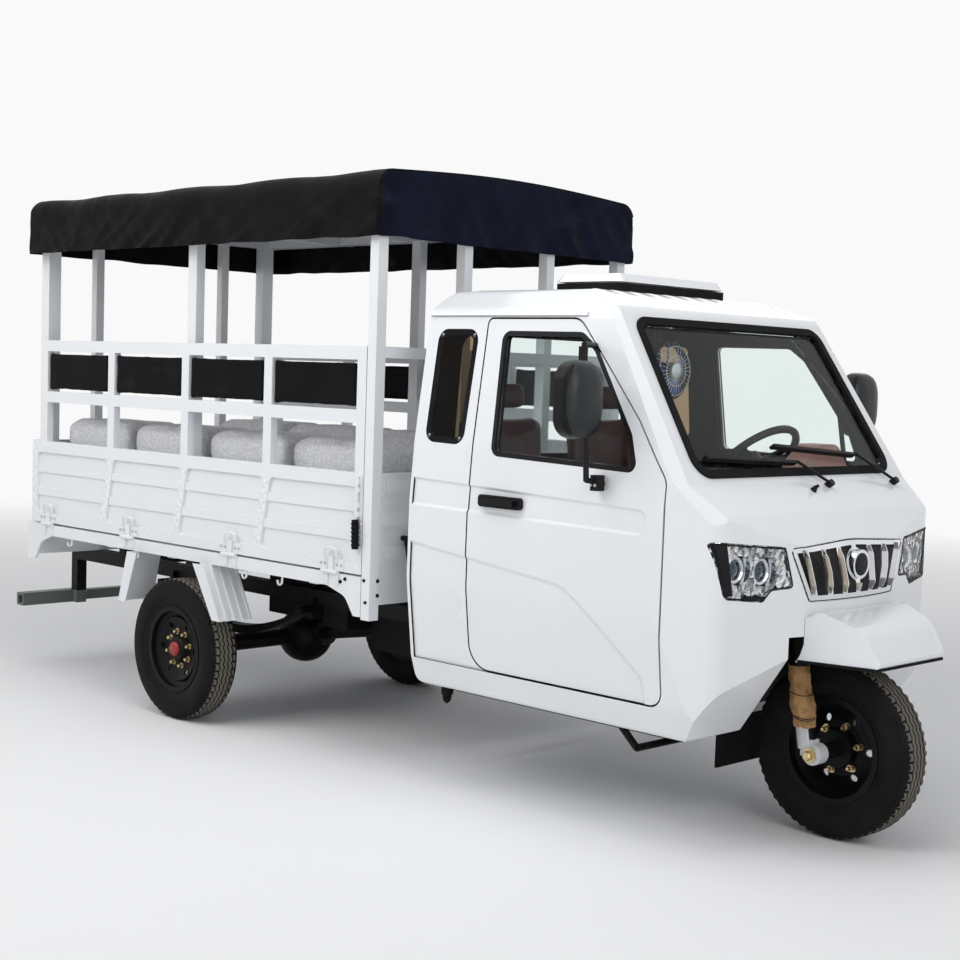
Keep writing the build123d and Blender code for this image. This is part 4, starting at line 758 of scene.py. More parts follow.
CUSHION_START = -1.856
CUSHION_PITCH = 0.5355
CUSHION_LENGTH = 0.5295
CUSHION_Y = (0.236, 0.582)
CUSHION_Z = (1.050, 1.172)
CUSHION_INSET = 0.010
CUSHION_CORNER = 0.03
CUSHION_EDGE = 0.024
CUSHION_CAP = 0.022
CUSHION_CROWN = 0.004


def make_bench_cushions():
    """Four loose cushions on each bench, the covers creased."""
    outline = rectangle(CUSHION_LENGTH, CUSHION_Y[1] - CUSHION_Y[0], CUSHION_INSET, CUSHION_CORNER)
    height = CUSHION_Z[1] - CUSHION_Z[0] - 0.016
    form = pillow(outline, height, CUSHION_EDGE, lambda u, v, w: (u, v, w))
    points, faces = puff("cushion", form, CUSHION_CAP, CUSHION_VOXEL)
    for side, sign in SIDES:
        for index in range(4):
            x0 = CUSHION_START + index * CUSHION_PITCH
            placed = points.copy()
            if index % 2:
                placed[:, 0] = CUSHION_LENGTH - placed[:, 0]
            placed = crease(placed, 0.045, 0.0035, index * 3.1 + sign)
            placed = move_to(placed, x0, CUSHION_Y[0], CUSHION_Z[0], sign)
            tops = (CUSHION_Z[0], CUSHION_Z[1] + CUSHION_CROWN)
            box = limits((x0, x0 + CUSHION_LENGTH), CUSHION_Y, tops, sign)
            look = (cushion_cloth, "chassis", "cushion_cloth", 0.6)
            soft_piece(f"bench_cushion_{side}_{index + 1}", placed, faces, box, look, "bench_cushions")


# Padded panels in the top row of each gate

BAYS = 4
BAY_PITCH = 0.536
PAD_X = -1.8327
PAD_SIZE = (0.4874, 0.1764)
PAD_Z = 1.2943
# back of the panel, and the room behind and in front of it
PAD_Y = 0.645
PAD_ROOM = (0.641, 0.661)
PAD_INSET = 0.003
PAD_CORNER = 0.012
PAD_DEPTH = 0.016
PAD_EDGE = 0.006
PAD_CAP = 0.008


def make_gate_pads():
    """Thin stuffed panels, crowned on the outside."""
    outline = rectangle(*PAD_SIZE, PAD_INSET, PAD_CORNER)
    form = pillow(outline, PAD_DEPTH, PAD_EDGE, lambda u, v, w: (u, w, v))
    points, faces = puff("pad", form, PAD_CAP, PAD_VOXEL)
    for side, sign in SIDES:
        for index in range(BAYS):
            x0 = PAD_X + index * BAY_PITCH
            placed = crease(points, 0.06, 0.003, index * 2.3 + sign * 5)
            placed = move_to(placed, x0, PAD_Y, PAD_Z, sign)
            box = limits((x0, x0 + PAD_SIZE[0]), PAD_ROOM, (PAD_Z, PAD_Z + PAD_SIZE[1]), sign)
            look = (black_vinyl, f"gate_{side}", "pad_vinyl", 0.7)
            name = f"gate_pad_{side}_{index + 1}"
            soft_piece(name, placed, faces, box, look, f"gate_pads_{side}", coarse=False)


# Cab seats: cushion, back and headrest in side view, from the rear axle

SEAT_YS = {"right": -0.290, "left": 0.270}
SEAT_EDGE = 0.035
CHANNEL_WIDTH = 0.14
CHANNEL_DEPTH = 0.006
# name, half width, cap, side outline with corner radii
SEAT_FORMS = (
    ("cushion", 0.225, 0.024, (
        (1.428, 0.702, 0.015), (1.862, 0.702, 0.025), (1.870, 0.796, 0.045), (1.446, 0.784, 0.020),
    )),
    ("back", 0.215, 0.022, (
        (1.402, 0.800, 0.020), (1.484, 0.800, 0.020), (1.462, 1.080, 0.060), (1.441, 1.300, 0.035),
        (1.388, 1.300, 0.025),
    )),
    ("headrest", 0.122, 0.012, (
        (1.394, 1.318, 0.012), (1.440, 1.318, 0.018), (1.434, 1.404, 0.022), (1.390, 1.404, 0.020),
    )),
)


def make_cab_seats():
    """Two upholstered seats with sewn channels, a cushion, a back and a headrest each."""
    for name, half, cap, corners in SEAT_FORMS:
        outline = round_outline(corners)
        form = pillow(outline, half * 2, SEAT_EDGE, lambda u, v, w: (u + AXLE_X, w - half, v))
        points, faces = puff("seat_" + name, form, cap, SEAT_VOXEL)
        xs = [corner[0] + AXLE_X for corner in corners]
        zs = [corner[1] for corner in corners]
        middle = np.array([(min(xs) + max(xs)) / 2, 0.0, (min(zs) + max(zs)) / 2])
        for side, y in SEAT_YS.items():
            placed = crease(points, 0.05, 0.002, y * 9)
            if name != "headrest":
                channels = np.abs((placed[:, 1] / half * 2.5 + 0.5) % 1.0 - 0.5) * 2.0
                groove = np.maximum(0.0, 1.0 - channels / CHANNEL_WIDTH)
                inward = middle - placed
                inward[:, 1] = 0.0
                inward /= np.maximum(np.linalg.norm(inward, axis=1, keepdims=True), TINY)
                placed += inward * (groove * CHANNEL_DEPTH)[:, None]
            placed[:, 1] += y
            low = (min(xs) - 0.008, y - half - 0.010, min(zs) - 0.002)
            high = (max(xs) + 0.010, y + half + 0.010, max(zs) + 0.010)
            look = (seat_cloth, "chassis", "seat_leather", 0.8)
            soft_piece(f"seat_{name}_{side}", placed, faces, (low, high), look, "cab_seats")


# Canopy: one sheet over the bows, in black with a navy front

CANOPY_X = (-1.9635, 0.3805)
CANOPY_HALF = 0.6865
HEM_Z = 1.900
# arch over the bows: height where it starts, corner radius, heights of its shoulder and its middle
ARCH_FOOT_Z = 2.0685
ARCH_CORNER = 0.068
ARCH_SHOULDER_Z = 2.1375
ARCH_TOP_Z = 2.1615
END_ROUND = 0.016
PLAN_RADIUS = {"front": 0.012, "rear": 0.014}
LEAST_RADIUS = 0.002
CORNER_REACH = 0.07
BOW_WIDTH = 0.050
BOW_XS = (-1.957, -1.383, -0.831, -0.263, 0.313)
LONG_STEPS = 210
SHORT_STEPS = 110
CORNER_STEPS = 8
WALL_LEVELS = 17
EAVE_LEVELS = 9
TOP_LEVELS = 42
# seed of the folds and outward direction of each side
CANOPY_SIDES = {"right": (1.0, 0, -1), "front": (7.0, 1, 0), "left": (13.0, 0, 1), "rear": (19.0, -1, 0)}
# slant, spacing, length and depth of each set of folds
FOLDS = (
    (1.3, 0.150, 0.26, 0.0110), (-0.9, 0.110, 0.22, 0.0065), (1.9, 0.060, 0.16, 0.0028),
    (0.25, 0.030, 0.10, 0.0012),
)
WALL_INWARD = 0.006
WALL_SAG = 0.005
TOP_SAG = 0.007
PIPING_RADIUS = 0.0045


def canopy_ring(inset):
    """Plan outline of the canopy, moved in, with the side that each point is on."""
    x0, x1 = CANOPY_X[0] + inset, CANOPY_X[1] - inset
    half = max(CANOPY_HALF - inset, 0.0)
    rear, front = (
        min(max(PLAN_RADIUS[end] - inset, LEAST_RADIUS), half + 1e-4) for end in ("rear", "front")
    )
    ring = []
    runs = (
        ("right", LONG_STEPS, (x0 + rear, -half), (x1 - front, -half), (x1 - front, front - half), front, -90),
        ("front", SHORT_STEPS, (x1, front - half), (x1, half - front), (x1 - front, half - front), front, 0),
        ("left", LONG_STEPS, (x1 - front, half), (x0 + rear, half), (x0 + rear, half - rear), rear, 90),
        ("rear", SHORT_STEPS, (x0, half - rear), (x0, rear - half), (x0 + rear, rear - half), rear, 180),
    )
    for side, steps, start, end, centre, radius, turn in runs:
        for step in range(steps):
            share = step / steps
            x, y = (first + (last - first) * share for first, last in zip(start, end))
            ring.append((x, y, side))
        for step in range(CORNER_STEPS):
            angle = radians(turn + 90.0 * step / CORNER_STEPS)
            ring.append((centre[0] + radius * cos(angle), centre[1] + radius * sin(angle), side))
    return ring


def bow_sag(x):
    """How far the cloth has sunk between two bows, from 0 over a bow to 1 midway."""
    for first, last in zip(BOW_XS, BOW_XS[1:]):
        if first + BOW_WIDTH <= x <= last:
            return sin(pi * (x - first - BOW_WIDTH) / (last - first - BOW_WIDTH)) ** 2
    return 0.0


def quarter_round(share):
    """Height of a quarter circle from its foot, both from 0 to 1."""
    return sqrt(max(0.0, 1 - (1 - share) ** 2))


def arch_height(y):
    """Height of the cloth over a bow, across the canopy."""
    edge = CANOPY_HALF - abs(y)
    if edge < ARCH_CORNER:
        return ARCH_FOOT_Z + (ARCH_SHOULDER_Z - ARCH_FOOT_Z) * quarter_round(edge / ARCH_CORNER)
    share = (edge - ARCH_CORNER) / (CANOPY_HALF - ARCH_CORNER)
    return ARCH_SHOULDER_Z + (ARCH_TOP_Z - ARCH_SHOULDER_Z) * sin(pi / 2 * share)


def wall_fold(along, z, seed):
    """Outward push of the hanging side: long slanting folds of several sizes."""
    push = 0.0
    for slant, spread, stretch, depth in FOLDS:
        spot = Vector(((along + slant * z) / spread, z / stretch, seed + slant))
        push += depth * (1.0 - 2.2 * abs(noise.noise(spot)))
    return push


def canopy_point(x, y, side, drop, inset):
    """Point of the hanging wall, at a share of its drop, or of the top where drop is None."""
    seed, out_x, out_y = CANOPY_SIDES[side]
    long_side = side in ("right", "left")
    along = x if long_side else y
    sag = bow_sag(x)
    ends = min(x - CANOPY_X[0], CANOPY_X[1] - x)
    top = arch_height(y) - END_ROUND * (1 - quarter_round(max(min(END_ROUND, ends), 0.0) / END_ROUND))
    fold = wall_fold(along, 0.0 if drop is None else drop * 0.17, seed)
    if drop is None:
        fade = max(0.0, 1 - inset / (ARCH_CORNER * 2.2))
        ripple = noise.noise(Vector((x * 3, y * 7, 4.0))) + 0.5 * noise.noise(Vector((x * 9, y * 16, 8.0)))
        z = top - TOP_SAG * sag * (1 - 0.35 * abs(y) / CANOPY_HALF) + 0.003 * (ripple - 0.6) * sag
        push = ((fold - 0.007) * 0.2 - WALL_SAG * sag * long_side) * fade
    else:
        z = HEM_Z + (top - HEM_Z) * (1 - drop)
        z += 0.007 * drop ** 3 * noise.noise(Vector((along * 6, seed, 0)))
        slack = 0.6 + 0.4 * sag if long_side else 1.0
        push = max(fold - WALL_INWARD, -WALL_INWARD) * (0.2 + 0.8 * drop) * slack
        push -= WALL_SAG * sag * (1 - drop) * long_side
        if (ends if long_side else CANOPY_HALF - abs(y)) < CORNER_REACH:
            push = max(push, 0.0)
    return Vector((x + out_x * push, y + out_y * push, z))


def make_canopy():
    """Hood of coated cloth: hanging sides with folds, a rounded eave and a top that sags between the bows."""
    levels = [(1 - k / WALL_LEVELS, 0.0) for k in range(WALL_LEVELS)]
    levels += [(None, ARCH_CORNER * (1 - cos(pi / 2 * k / EAVE_LEVELS))) for k in range(EAVE_LEVELS)]
    flat = CANOPY_HALF - ARCH_CORNER
    levels += [(None, ARCH_CORNER + flat * k / TOP_LEVELS) for k in range(TOP_LEVELS + 1)]
    rings = []
    sides = []
    for drop, inset in levels:
        plan = canopy_ring(inset)
        rings.append([canopy_point(x, y, side, drop, inset) for x, y, side in plan])
        sides += [side for x, y, side in plan]
    shape = Shape().loft(rings, capped=False)
    canopy = shape.make("canopy", black_canvas, "chassis", "canopy_vinyl", angle=60.0)
    canopy.data.materials.append(navy_canvas)
    for face in canopy.data.polygons:
        if sides[face.vertices[0]] == "front" and face.center.x > CANOPY_X[1] - 0.03:
            face.material_index = 1 if abs(face.normal.x) > 0.5 else 0
    clean(canopy.data, weld=True, outward=False)
    piping = Shape()
    front = CANOPY_X[1] - END_ROUND * 0.35
    for sign in (-1, 1):
        y = sign * (CANOPY_HALF - 0.005)
        piping.tube([(front, y, HEM_Z + 0.004), (front, y, ARCH_FOOT_Z - 0.02)], PIPING_RADIUS)
    arch = []
    for step in range(61):
        y = (CANOPY_HALF - 0.004) * sin(pi / 2 * (2 * step / 60 - 1))
        arch.append((front, y, arch_height(y) - END_ROUND * 0.30))
    bead = piping.tube(arch, PIPING_RADIUS).make("canopy_piping", black_vinyl, "chassis", "canopy_vinyl")
    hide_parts("canopy_cover")


# Wheels and fork

HUB_Y = 0.631
HUB_CAP = ((0.0, 0.030), (0.004, 0.030), (0.009, 0.027), (0.012, 0.021), (0.0135, 0.011), (0.014, 0.002))
FRONT_AXLE_X = 2.690
FRONT_AXLE_Z = 0.285
# side, distance out, distance from the axle, radius and height of the front wheel's nuts
FRONT_NUTS = ((-1, 0.0105, 0.074, 0.0070, 0.016), (1, 0.0015, 0.078, 0.0075, 0.010))
RAKE_SLOPE = tan(radians(10.5))
FORK_LEG_X = 2.662
WRAP_LEVELS = 26
WRAP_Z = 0.366
WRAP_LENGTH = 0.190
LEG_RADIUS = 0.0312
# height and radius of the wire ties
TIES = ((0.392, 0.0375), (0.398, 0.038), (0.470, 0.0405))


def surface(node):
    """Search tree of a CAD node's faces."""
    mesh = nodes[node].data
    faces = [tuple(face.vertices) for face in mesh.polygons]
    return BVHTree.FromPolygons([vertex.co for vertex in mesh.vertices], faces)


def make_rear_hub(label, sign):
    """Nuts round a rear hub and the cap over its middle."""
    low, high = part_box("rear_rim_" + label)
    centre = (low + high) / 2
    centre.y = sign * HUB_Y
    outward = Vector((0, sign, 0))
    nuts = Shape()
    for turn in turns(8, shift=0.3):
        nuts.bolt(centre + outward * 0.0205 + spoke(turn) * 0.070, outward, 0.0080, 0.020)
    nuts.make("wheel_nuts_" + label, brass, "rear_wheel_" + label, "chrome")
    cap = Shape().turned(centre + outward * 0.0455, outward, HUB_CAP, 28)
    cap.make("hub_cap_" + label, red_paint, "rear_wheel_" + label, "black_steel")


def make_front_nuts():
    """Nuts on both faces of the front wheel's disc."""
    centre = at(FRONT_AXLE_X, 0.0, FRONT_AXLE_Z)
    nuts = Shape()
    for turn in turns(6, shift=0.2):
        for sign, out, reach, radius, height in FRONT_NUTS:
            outward = Vector((0, sign, 0))
            nuts.bolt(centre + outward * out + spoke(turn) * reach, outward, radius, height)
    nuts.make("front_wheel_nuts", brass, "front_wheel", "chrome")


def by_leg(sign, z, radius, turn, lift):
    """Point beside a fork leg, lifted from the height where it is taken."""
    x = FORK_LEG_X - (z - FRONT_AXLE_Z) * RAKE_SLOPE + radius * cos(turn)
    return at(x, sign * FORK_LEG_Y + radius * sin(turn), z + lift)


def make_fork_wrap(label, sign):
    """Crumpled brown paper round a fork leg, tied with wire, and the axle nut."""
    rings = []
    for level in range(WRAP_LEVELS + 1):
        z = WRAP_Z + WRAP_LENGTH * level / WRAP_LEVELS
        rough = 0.0335 + 0.0060 * sin(pi * min(1.0, level / 17)) ** 2
        ring = []
        for turn in turns(40):
            fold = noise.noise(Vector((cos(turn) * 2.2, sin(turn) * 2.2, z * 38 + sign * 9)))
            fine = noise.noise(Vector((cos(turn) * 6, sin(turn) * 6, z * 110)))
            radius = max(rough + 0.0060 * fold + 0.0024 * fine, LEG_RADIUS)
            lift = 0.009 * noise.noise(Vector((turn * 4, sign * 3, 5))) if level < 2 else 0.0
            ring.append(by_leg(sign, z, radius, turn, lift))
        rings.append(ring)
    Shape().loft(rings).make("fork_wrap_" + label, kraft_paper, "front_fork", "dash_plastic", angle=75.0)
    ties = Shape()
    for z, radius in TIES:
        loop = [by_leg(sign, z, radius, turn, 0.004 * sin(turn * 2)) for turn in turns(24, extra=1)]
        ties.tube(loop, 0.0012, 6)
    ties.make("fork_ties_" + label, black_paint, "front_fork", "black_steel")
    nut = Shape().bolt(at(FRONT_AXLE_X, sign * 0.1695, FRONT_AXLE_Z), (0, sign, 0), 0.016, 0.020)
    nut.make("axle_nut_" + label, brass, "front_fork", "chrome")


def make_fender_lip():
    """Black rubber lip along the lower edge of the front mudguard."""
    skin = surface("front_fender")
    path = []
    for step in range(61):
        turn = radians(-100 + 200 * step / 60)
        away = Vector((cos(turn), sin(turn), 0))
        place, _, _, distance = skin.ray_cast(at(2.70, 0, 0.593) + away * 0.6, -away)
        if place and distance < 0.58:
            path.append(place + away * 0.001 - UPWARD * 0.004)
    Shape().tube(path, 0.0052).make("fender_lip", black_rubber, "chassis", "rubber_black")


# Drop sides and load bed

GATE_FACE_Y = 0.663
STRAP_Z = (0.758, 1.012)
END_STRAP_XS = (-1.1325, 1.092)
END_STRAP_Z = (0.73, 1.05)
LATTICE_REAR_X = -1.081
GRIP_PITCH = 0.020
GRIP_COLUMN = 0.017
# half length, half width and height of one grip of chequered plate
GRIP_SIZE = (0.0090, 0.0034, 0.0024)
HINGE_XS = (-1.010, -0.370, 0.340, 0.950)
# bent rod of a hinge: x from its middle, distance out of the gate's face, z
HINGE_ROD = (
    (-0.034, 0.002, 0.748), (-0.034, 0.007, 0.758),
    *((-0.034 * cos(turn), 0.007, 0.779 + 0.012 * sin(turn)) for turn in half_turn(12)),
    (0.034, 0.007, 0.758), (0.034, 0.002, 0.748),
)
PLUGS = ((1.111, 1.115), (-1.081, -1.085))
LATCH_LUGS = (0.925, 0.958, 1.010, 1.040)
# lever of the latch: x, distance out of the gate's face, z
LATCH_LEVER = ((1.093, 0.010, 1.058), (1.093, 0.013, 0.985), (1.090, 0.014, 0.902))
LATCH_GRIP = 0.106
LATCH_GRIP_STEPS = 32
HOOK_XS = (-0.82, -0.30, 0.44, 0.66)
# rope hook: distance out and z
HOOK = (
    (0.0, 0.656), (0.004, 0.640),
    *((0.014 - 0.010 * cos(turn), 0.632 - 0.010 * sin(turn)) for turn in half_turn(8)),
    (0.026, 0.640),
)
# x, half width and z of the bed's bolts, whether they point forward, radius and height
BED_BOLTS = (
    (1.002, 0.663, 0.672, False, 0.0048, 0.007), (1.027, 0.663, 0.684, False, 0.0048, 0.007),
    (1.130, 0.6631, 0.690, False, 0.0044, 0.006), (1.140, 0.6631, 0.612, False, 0.0044, 0.006),
    (1.160, 0.626, 0.637, True, 0.0050, 0.007), (1.160, 0.626, 0.689, True, 0.0050, 0.007),
)


def lozenge(shape, centre, along, across, outward):
    """Raised grip of chequered plate: a low roof over a diamond."""
    length, width, height = GRIP_SIZE
    points = [
        centre + along * length, centre + across * width, centre - along * length, centre - across * width,
        centre + along * length * 0.45 + outward * height, centre - along * length * 0.45 + outward * height,
    ]
    shape.add(points, [(0, 1, 4), (1, 2, 5), (1, 5, 4), (2, 3, 5), (3, 0, 4), (3, 4, 5), (3, 2, 1, 0)])


def chequer(shape, low, high, width, along, across, outward):
    """Grips in a staggered pattern over a strip between two points."""
    rows = int((high - low).length / GRIP_PITCH)
    columns = max(2, int(width / GRIP_COLUMN))
    for row in range(rows):
        for column in range(columns):
            share = (column + 0.5) / columns - 0.5
            place = low.lerp(high, (row + 0.5) / rows) + across * width * share
            lean = 1 if (row + column) % 2 else -1
            way = (along + across * lean).normalized()
            side = (along - across * lean).normalized()
            lozenge(shape, place, way, side, outward)


def make_gate_trim(label, sign):
    """Chequered straps, hinge plates with bent rods, end plugs and the latch of a side gate."""
    body = "gate_" + label
    y = sign * GATE_FACE_Y
    outward = Vector((0, sign, 0))
    straps = Shape()
    for bay in range(1, BAYS):
        x = LATTICE_REAR_X + bay * BAY_PITCH
        low, high = at(x - 0.031, y, STRAP_Z[0]), at(x + 0.029, y, STRAP_Z[1])
        chequer(straps, low, high, 0.036, (high - low).normalized(), FORWARD, outward)
    for x in END_STRAP_XS:
        low, high = (at(x, y, z) for z in END_STRAP_Z)
        chequer(straps, low, high, 0.034, UPWARD, FORWARD, outward)
    straps.make("gate_grips_" + label, white_bed, body, "white_paint", smooth=False)
    hinges = Shape()
    heads = Shape()
    for x in HINGE_XS:
        for plate in (x - 0.045, x + 0.045):
            hinges.slab((plate - 0.024, plate + 0.024), (y, y + sign * 0.003), (0.710, 0.752), 0.001)
            for hop in (-0.012, 0.012):
                heads.bolt(at(plate + hop, y + sign * 0.003, 0.732), outward, 0.0042, 0.006)
        hinges.tube([at(x + hop, y + sign * out, z) for hop, out, z in HINGE_ROD], 0.0045)
    hinges.make("gate_hinge_plates_" + label, white_bed, body, "white_paint")
    heads.make("gate_bolts_" + label, zinc, body, "chrome")
    plugs = Shape()
    for xs in PLUGS:
        plugs.slab(xs, (sign * 0.636, sign * 0.660), (1.476, 1.515), 0.001)
    plugs.make("gate_plugs_" + label, black_plastic, body, "black_plastic")
    latch = Shape()
    latch.slab((1.078, 1.108), (y, y + sign * 0.004), (0.905, 1.062), 0.001)
    for z in LATCH_LUGS:
        latch.slab((1.084, 1.102), (y, y + sign * 0.016), (z - 0.009, z + 0.009), 0.004)
    latch.tube([at(x, y + sign * out, z) for x, out, z in LATCH_LEVER], 0.006)
    latch.make("gate_latch_" + label, white_bed, body, "white_paint")
    profile = []
    for step in range(LATCH_GRIP_STEPS + 1):
        along = LATCH_GRIP * step / LATCH_GRIP_STEPS
        ripple = 0.0016 * cos(along / LATCH_GRIP * 2 * pi * 7)
        profile.append((along, 0.0135 + ripple if 0 < step < LATCH_GRIP_STEPS else 0.009))
    grip = Shape().turned(at(1.090, y + sign * 0.0155, 0.905), (0.06, 0.02 * sign, -1), profile, 16)
    grip.make("gate_latch_grip_" + label, black_rubber, body, "rubber_black")


def make_bed_trim():
    """Rope hooks below the bed's edge, bolts of the corner skirts and chequered strips of the headboard."""
    hooks = Shape()
    bolts = Shape()
    strips = Shape()
    skin = surface("bed_headboard")
    for _, sign in SIDES:
        for x in HOOK_XS:
            hooks.tube([at(x, sign * 0.655 + sign * out, z) for out, z in HOOK], 0.0042)
        for x, half, z, forward, radius, height in BED_BOLTS:
            bolts.bolt(at(x, sign * half, z), FORWARD if forward else (0, sign, 0), radius, height)
        ends = [skin.ray_cast(at(1.5, sign * 0.606, z), -FORWARD)[0] for z in (0.775, 1.020)]
        chequer(strips, *ends, 0.055, UPWARD, LEFTWARD, FORWARD)
    hooks.make("rope_hooks", white_bed, "chassis", "white_paint")
    bolts.make("bed_bolts", black_paint, "chassis", "black_steel")
    strips.make("headboard_grips", white_bed, "chassis", "white_paint", smooth=False)


# Cab fittings

WINDOW_SCREWS = ((1.411, 1.221), (1.557, 1.216), (1.567, 1.564), (1.415, 1.564))
SCREW = ((-0.001, 0.0075), (0.0015, 0.0070), (0.0028, 0.0045), (0.003, 0.001))
# dark corner and lower wedge of a lamp: (y, z) from the top outer corner round
LAMP_DARK = (
    ((0.602, 0.958), (0.566, 0.957), (0.538, 0.806), (0.564, 0.806)),
    ((0.497, 0.800), (0.410, 0.800), (0.418, 0.793), (0.470, 0.788)),
)
DARK_ROWS = 32
DARK_COLUMNS = 8
# y, z, radius and x of the bowls
LAMP_BOWLS = ((0.410, 0.872, 0.044, 2.616), (0.510, 0.880, 0.044, 2.593))
# outlines of the right lamp and of the grille: y, z and corner radius
LAMP_OUTLINE = (
    (-0.612, 0.968, 0.012), (-0.570, 0.795, 0.025), (-0.420, 0.780, 0.020),
    (-0.388, 0.814, 0.020), (-0.298, 0.818, 0.015), (-0.338, 0.946, 0.015),
)
GRILLE_OUTLINE = (
    (-0.238, 0.772, 0.014), (0.238, 0.772, 0.014), (0.325, 0.944, 0.018), (0.0, 0.960, 0.900),
    (-0.325, 0.944, 0.018),
)
BORDER_STEP = 0.004
RIBS = 11
RIB_STEPS = 14
GRILLE_BARS = 7
GRILLE_Z = (0.772, 0.960)
GRILLE_BAR_Y = (0.205, 0.270)
FIN_Z = (0.796, 0.934)
FIN_STEPS = 16
BADGE_CENTRE = (0.0, 0.880)
BADGE_CLEAR = 0.058
BADGE = ((0.0, 0.036), (0.002, 0.036), (0.0035, 0.030), (0.0045, 0.018), (0.005, 0.001))
MIRROR_CENTRE = (0.7775, 1.368)
MIRROR_HALF = (0.0855, 0.117)
MIRROR_POWER = 2 / 3.0
# x from the rear axle and share of the outline, from the glass to the nose of the shell
MIRROR_RINGS = (
    (2.1865, 0.93), (2.1875, 1.0), (2.200, 1.02), (2.222, 1.0), (2.238, 0.93), (2.250, 0.80), (2.258, 0.60),
    (2.262, 0.34), (2.263, 0.06),
)
MIRROR_PANE = ((2.1853, 0.84), (2.1847, 0.89), (2.1868, 0.90))
# middle and half size of the mirror arm's clamps
CLAMPS = (
    ((2.205, 0.668, 1.114), (0.017, 0.020, 0.024)), ((2.147, 0.690, 1.500), (0.013, 0.013, 0.030)),
    ((2.150, 0.690, 1.452), (0.015, 0.016, 0.012)),
)
DRAIN = ((0.0, 0.019), (0.012, 0.021), (0.026, 0.021), (0.030, 0.017), (0.050, 0.0135), (0.060, 0.003))
NOZZLE_FOOT = ((-0.002, 0.011), (0.004, 0.011), (0.008, 0.008), (0.016, 0.007), (0.018, 0.004))
NOZZLE_JET = ((0, 0.005), (0.012, 0.005), (0.014, 0.003))
FAN_CENTRE = (2.120, -0.250, 1.465)
# distance from the fan's axis and distance forward along one wire of its guard
FAN_WIRE = ((0.024, 0.044), (0.070, 0.041), (0.090, 0.030), (0.094, 0.020))
FAN_RINGS = ((0.050, 0.0425), (0.080, 0.0365))
FAN_BOSS = ((0, 0.025), (0.005, 0.025), (0.008, 0.018), (0.009, 0.002))


def make_window_screws():
    """Screws at the corners of the quarter windows, set on the border's face."""
    screws = Shape()
    skin = surface("windscreen_seal")
    for _, sign in SIDES:
        for x, z in WINDOW_SCREWS:
            place, normal, _, distance = skin.ray_cast(at(x, sign * 1.2, z), LEFTWARD * -sign)
            if place and distance < 0.75:
                screws.turned(place, normal, SCREW, 14)
    screws.make("window_screws", dark_chrome, "chassis", "chrome")


def lens_patch(skin, quad, sign):
    """Grid of points between four corners, laid on the lens."""
    top_out, top_in, low_in, low_out = (Vector((0, y * sign, z)) for y, z in quad)
    grid = []
    for row in range(DARK_ROWS + 1):
        down = row / DARK_ROWS
        line = []
        for column in range(DARK_COLUMNS + 1):
            spot = top_out.lerp(low_out, down).lerp(top_in.lerp(low_in, down), column / DARK_COLUMNS)
            place, normal = skin.ray_cast(Vector((2.3, spot.y, spot.z)), -FORWARD)[:2]
            line.append(place + normal * 0.0012 if place else Vector((1.80, spot.y, spot.z)))
        grid.append(line)
    return grid


def make_lamps():
    """Dark corners of the headlamps, set on the lens, and two projectors in the bowls of each."""
    skin = surface("headlamp_lenses")
    dark = Shape()
    rings = Shape()
    eyes = Shape()
    for _, sign in SIDES:
        for quad in LAMP_DARK:
            dark.loft(lens_patch(skin, quad, sign), closed=False, capped=False)
        for y, z, radius, x in LAMP_BOWLS:
            centre = at(x, y * sign, z)
            room = []
            for turn in turns(16):
                edge = centre + Vector((0.001, radius * 0.97 * cos(turn), radius * 0.97 * sin(turn)))
                place, _, _, distance = skin.ray_cast(edge, FORWARD)
                room.append(distance if place else 0.02)
            depth = max(0.012, min(room) - 0.003)
            rings.turned(centre, FORWARD, [
                (0.001, radius - 0.001), (depth - 0.004, radius - 0.001), (depth, radius - 0.004),
                (depth - 0.002, radius - 0.012), (depth - 0.010, radius - 0.015), (0.003, 0.026),
                (0.002, 0.006),
            ], 36)
            eyes.turned(centre, FORWARD, [
                (0.004, 0.025), (depth - 0.012, 0.025), (depth - 0.008, 0.022), (depth - 0.005, 0.016),
                (depth - 0.003, 0.008), (depth - 0.0025, 0.001),
            ], 28)
    corner = dark.make("lamp_corners", black_plastic, "chassis", "black_plastic")
    corner.modifiers.new("thick", "SOLIDIFY").thickness = 0.001
    rings.make("lamp_rings", chrome, "chassis", "chrome")
    eyes.make("lamp_eyes", dark_glass, "chassis", "lamp_lens")


def dense(outline):
    """Outline with points added so that none is further than a step from the next."""
    points = []
    for index, point in enumerate(outline):
        here, after = Vector(point), Vector(outline[(index + 1) % len(outline)])
        parts = max(1, ceil((after - here).length / BORDER_STEP))
        points += [tuple(here.lerp(after, k / parts)) for k in range(parts)]
    return points


def border(shape, skin, outline, inner, outer, lift):
    """Flat band along an outline, laid on the faces below it."""
    outline = dense(outline)
    count = len(outline)
    rings = []
    for inset in (outer, inner):
        ring = []
        for index in range(count):
            along = Vector(outline[(index + 1) % count]) - Vector(outline[index - 1])
            inward = Vector((-along.y, along.x)).normalized()
            y, z = Vector(outline[index]) + inward * inset
            place, normal = skin.ray_cast(Vector((2.6, y, z)), -FORWARD)[:2]
            ring.append(place + normal * lift if place else None)
        rings.append(ring)
    for index in range(count):
        after = (index + 1) % count
        corners = (rings[0][index], rings[0][after], rings[1][after], rings[1][index])
        if all(corners):
            shape.add(corners, [(0, 1, 2, 3)])


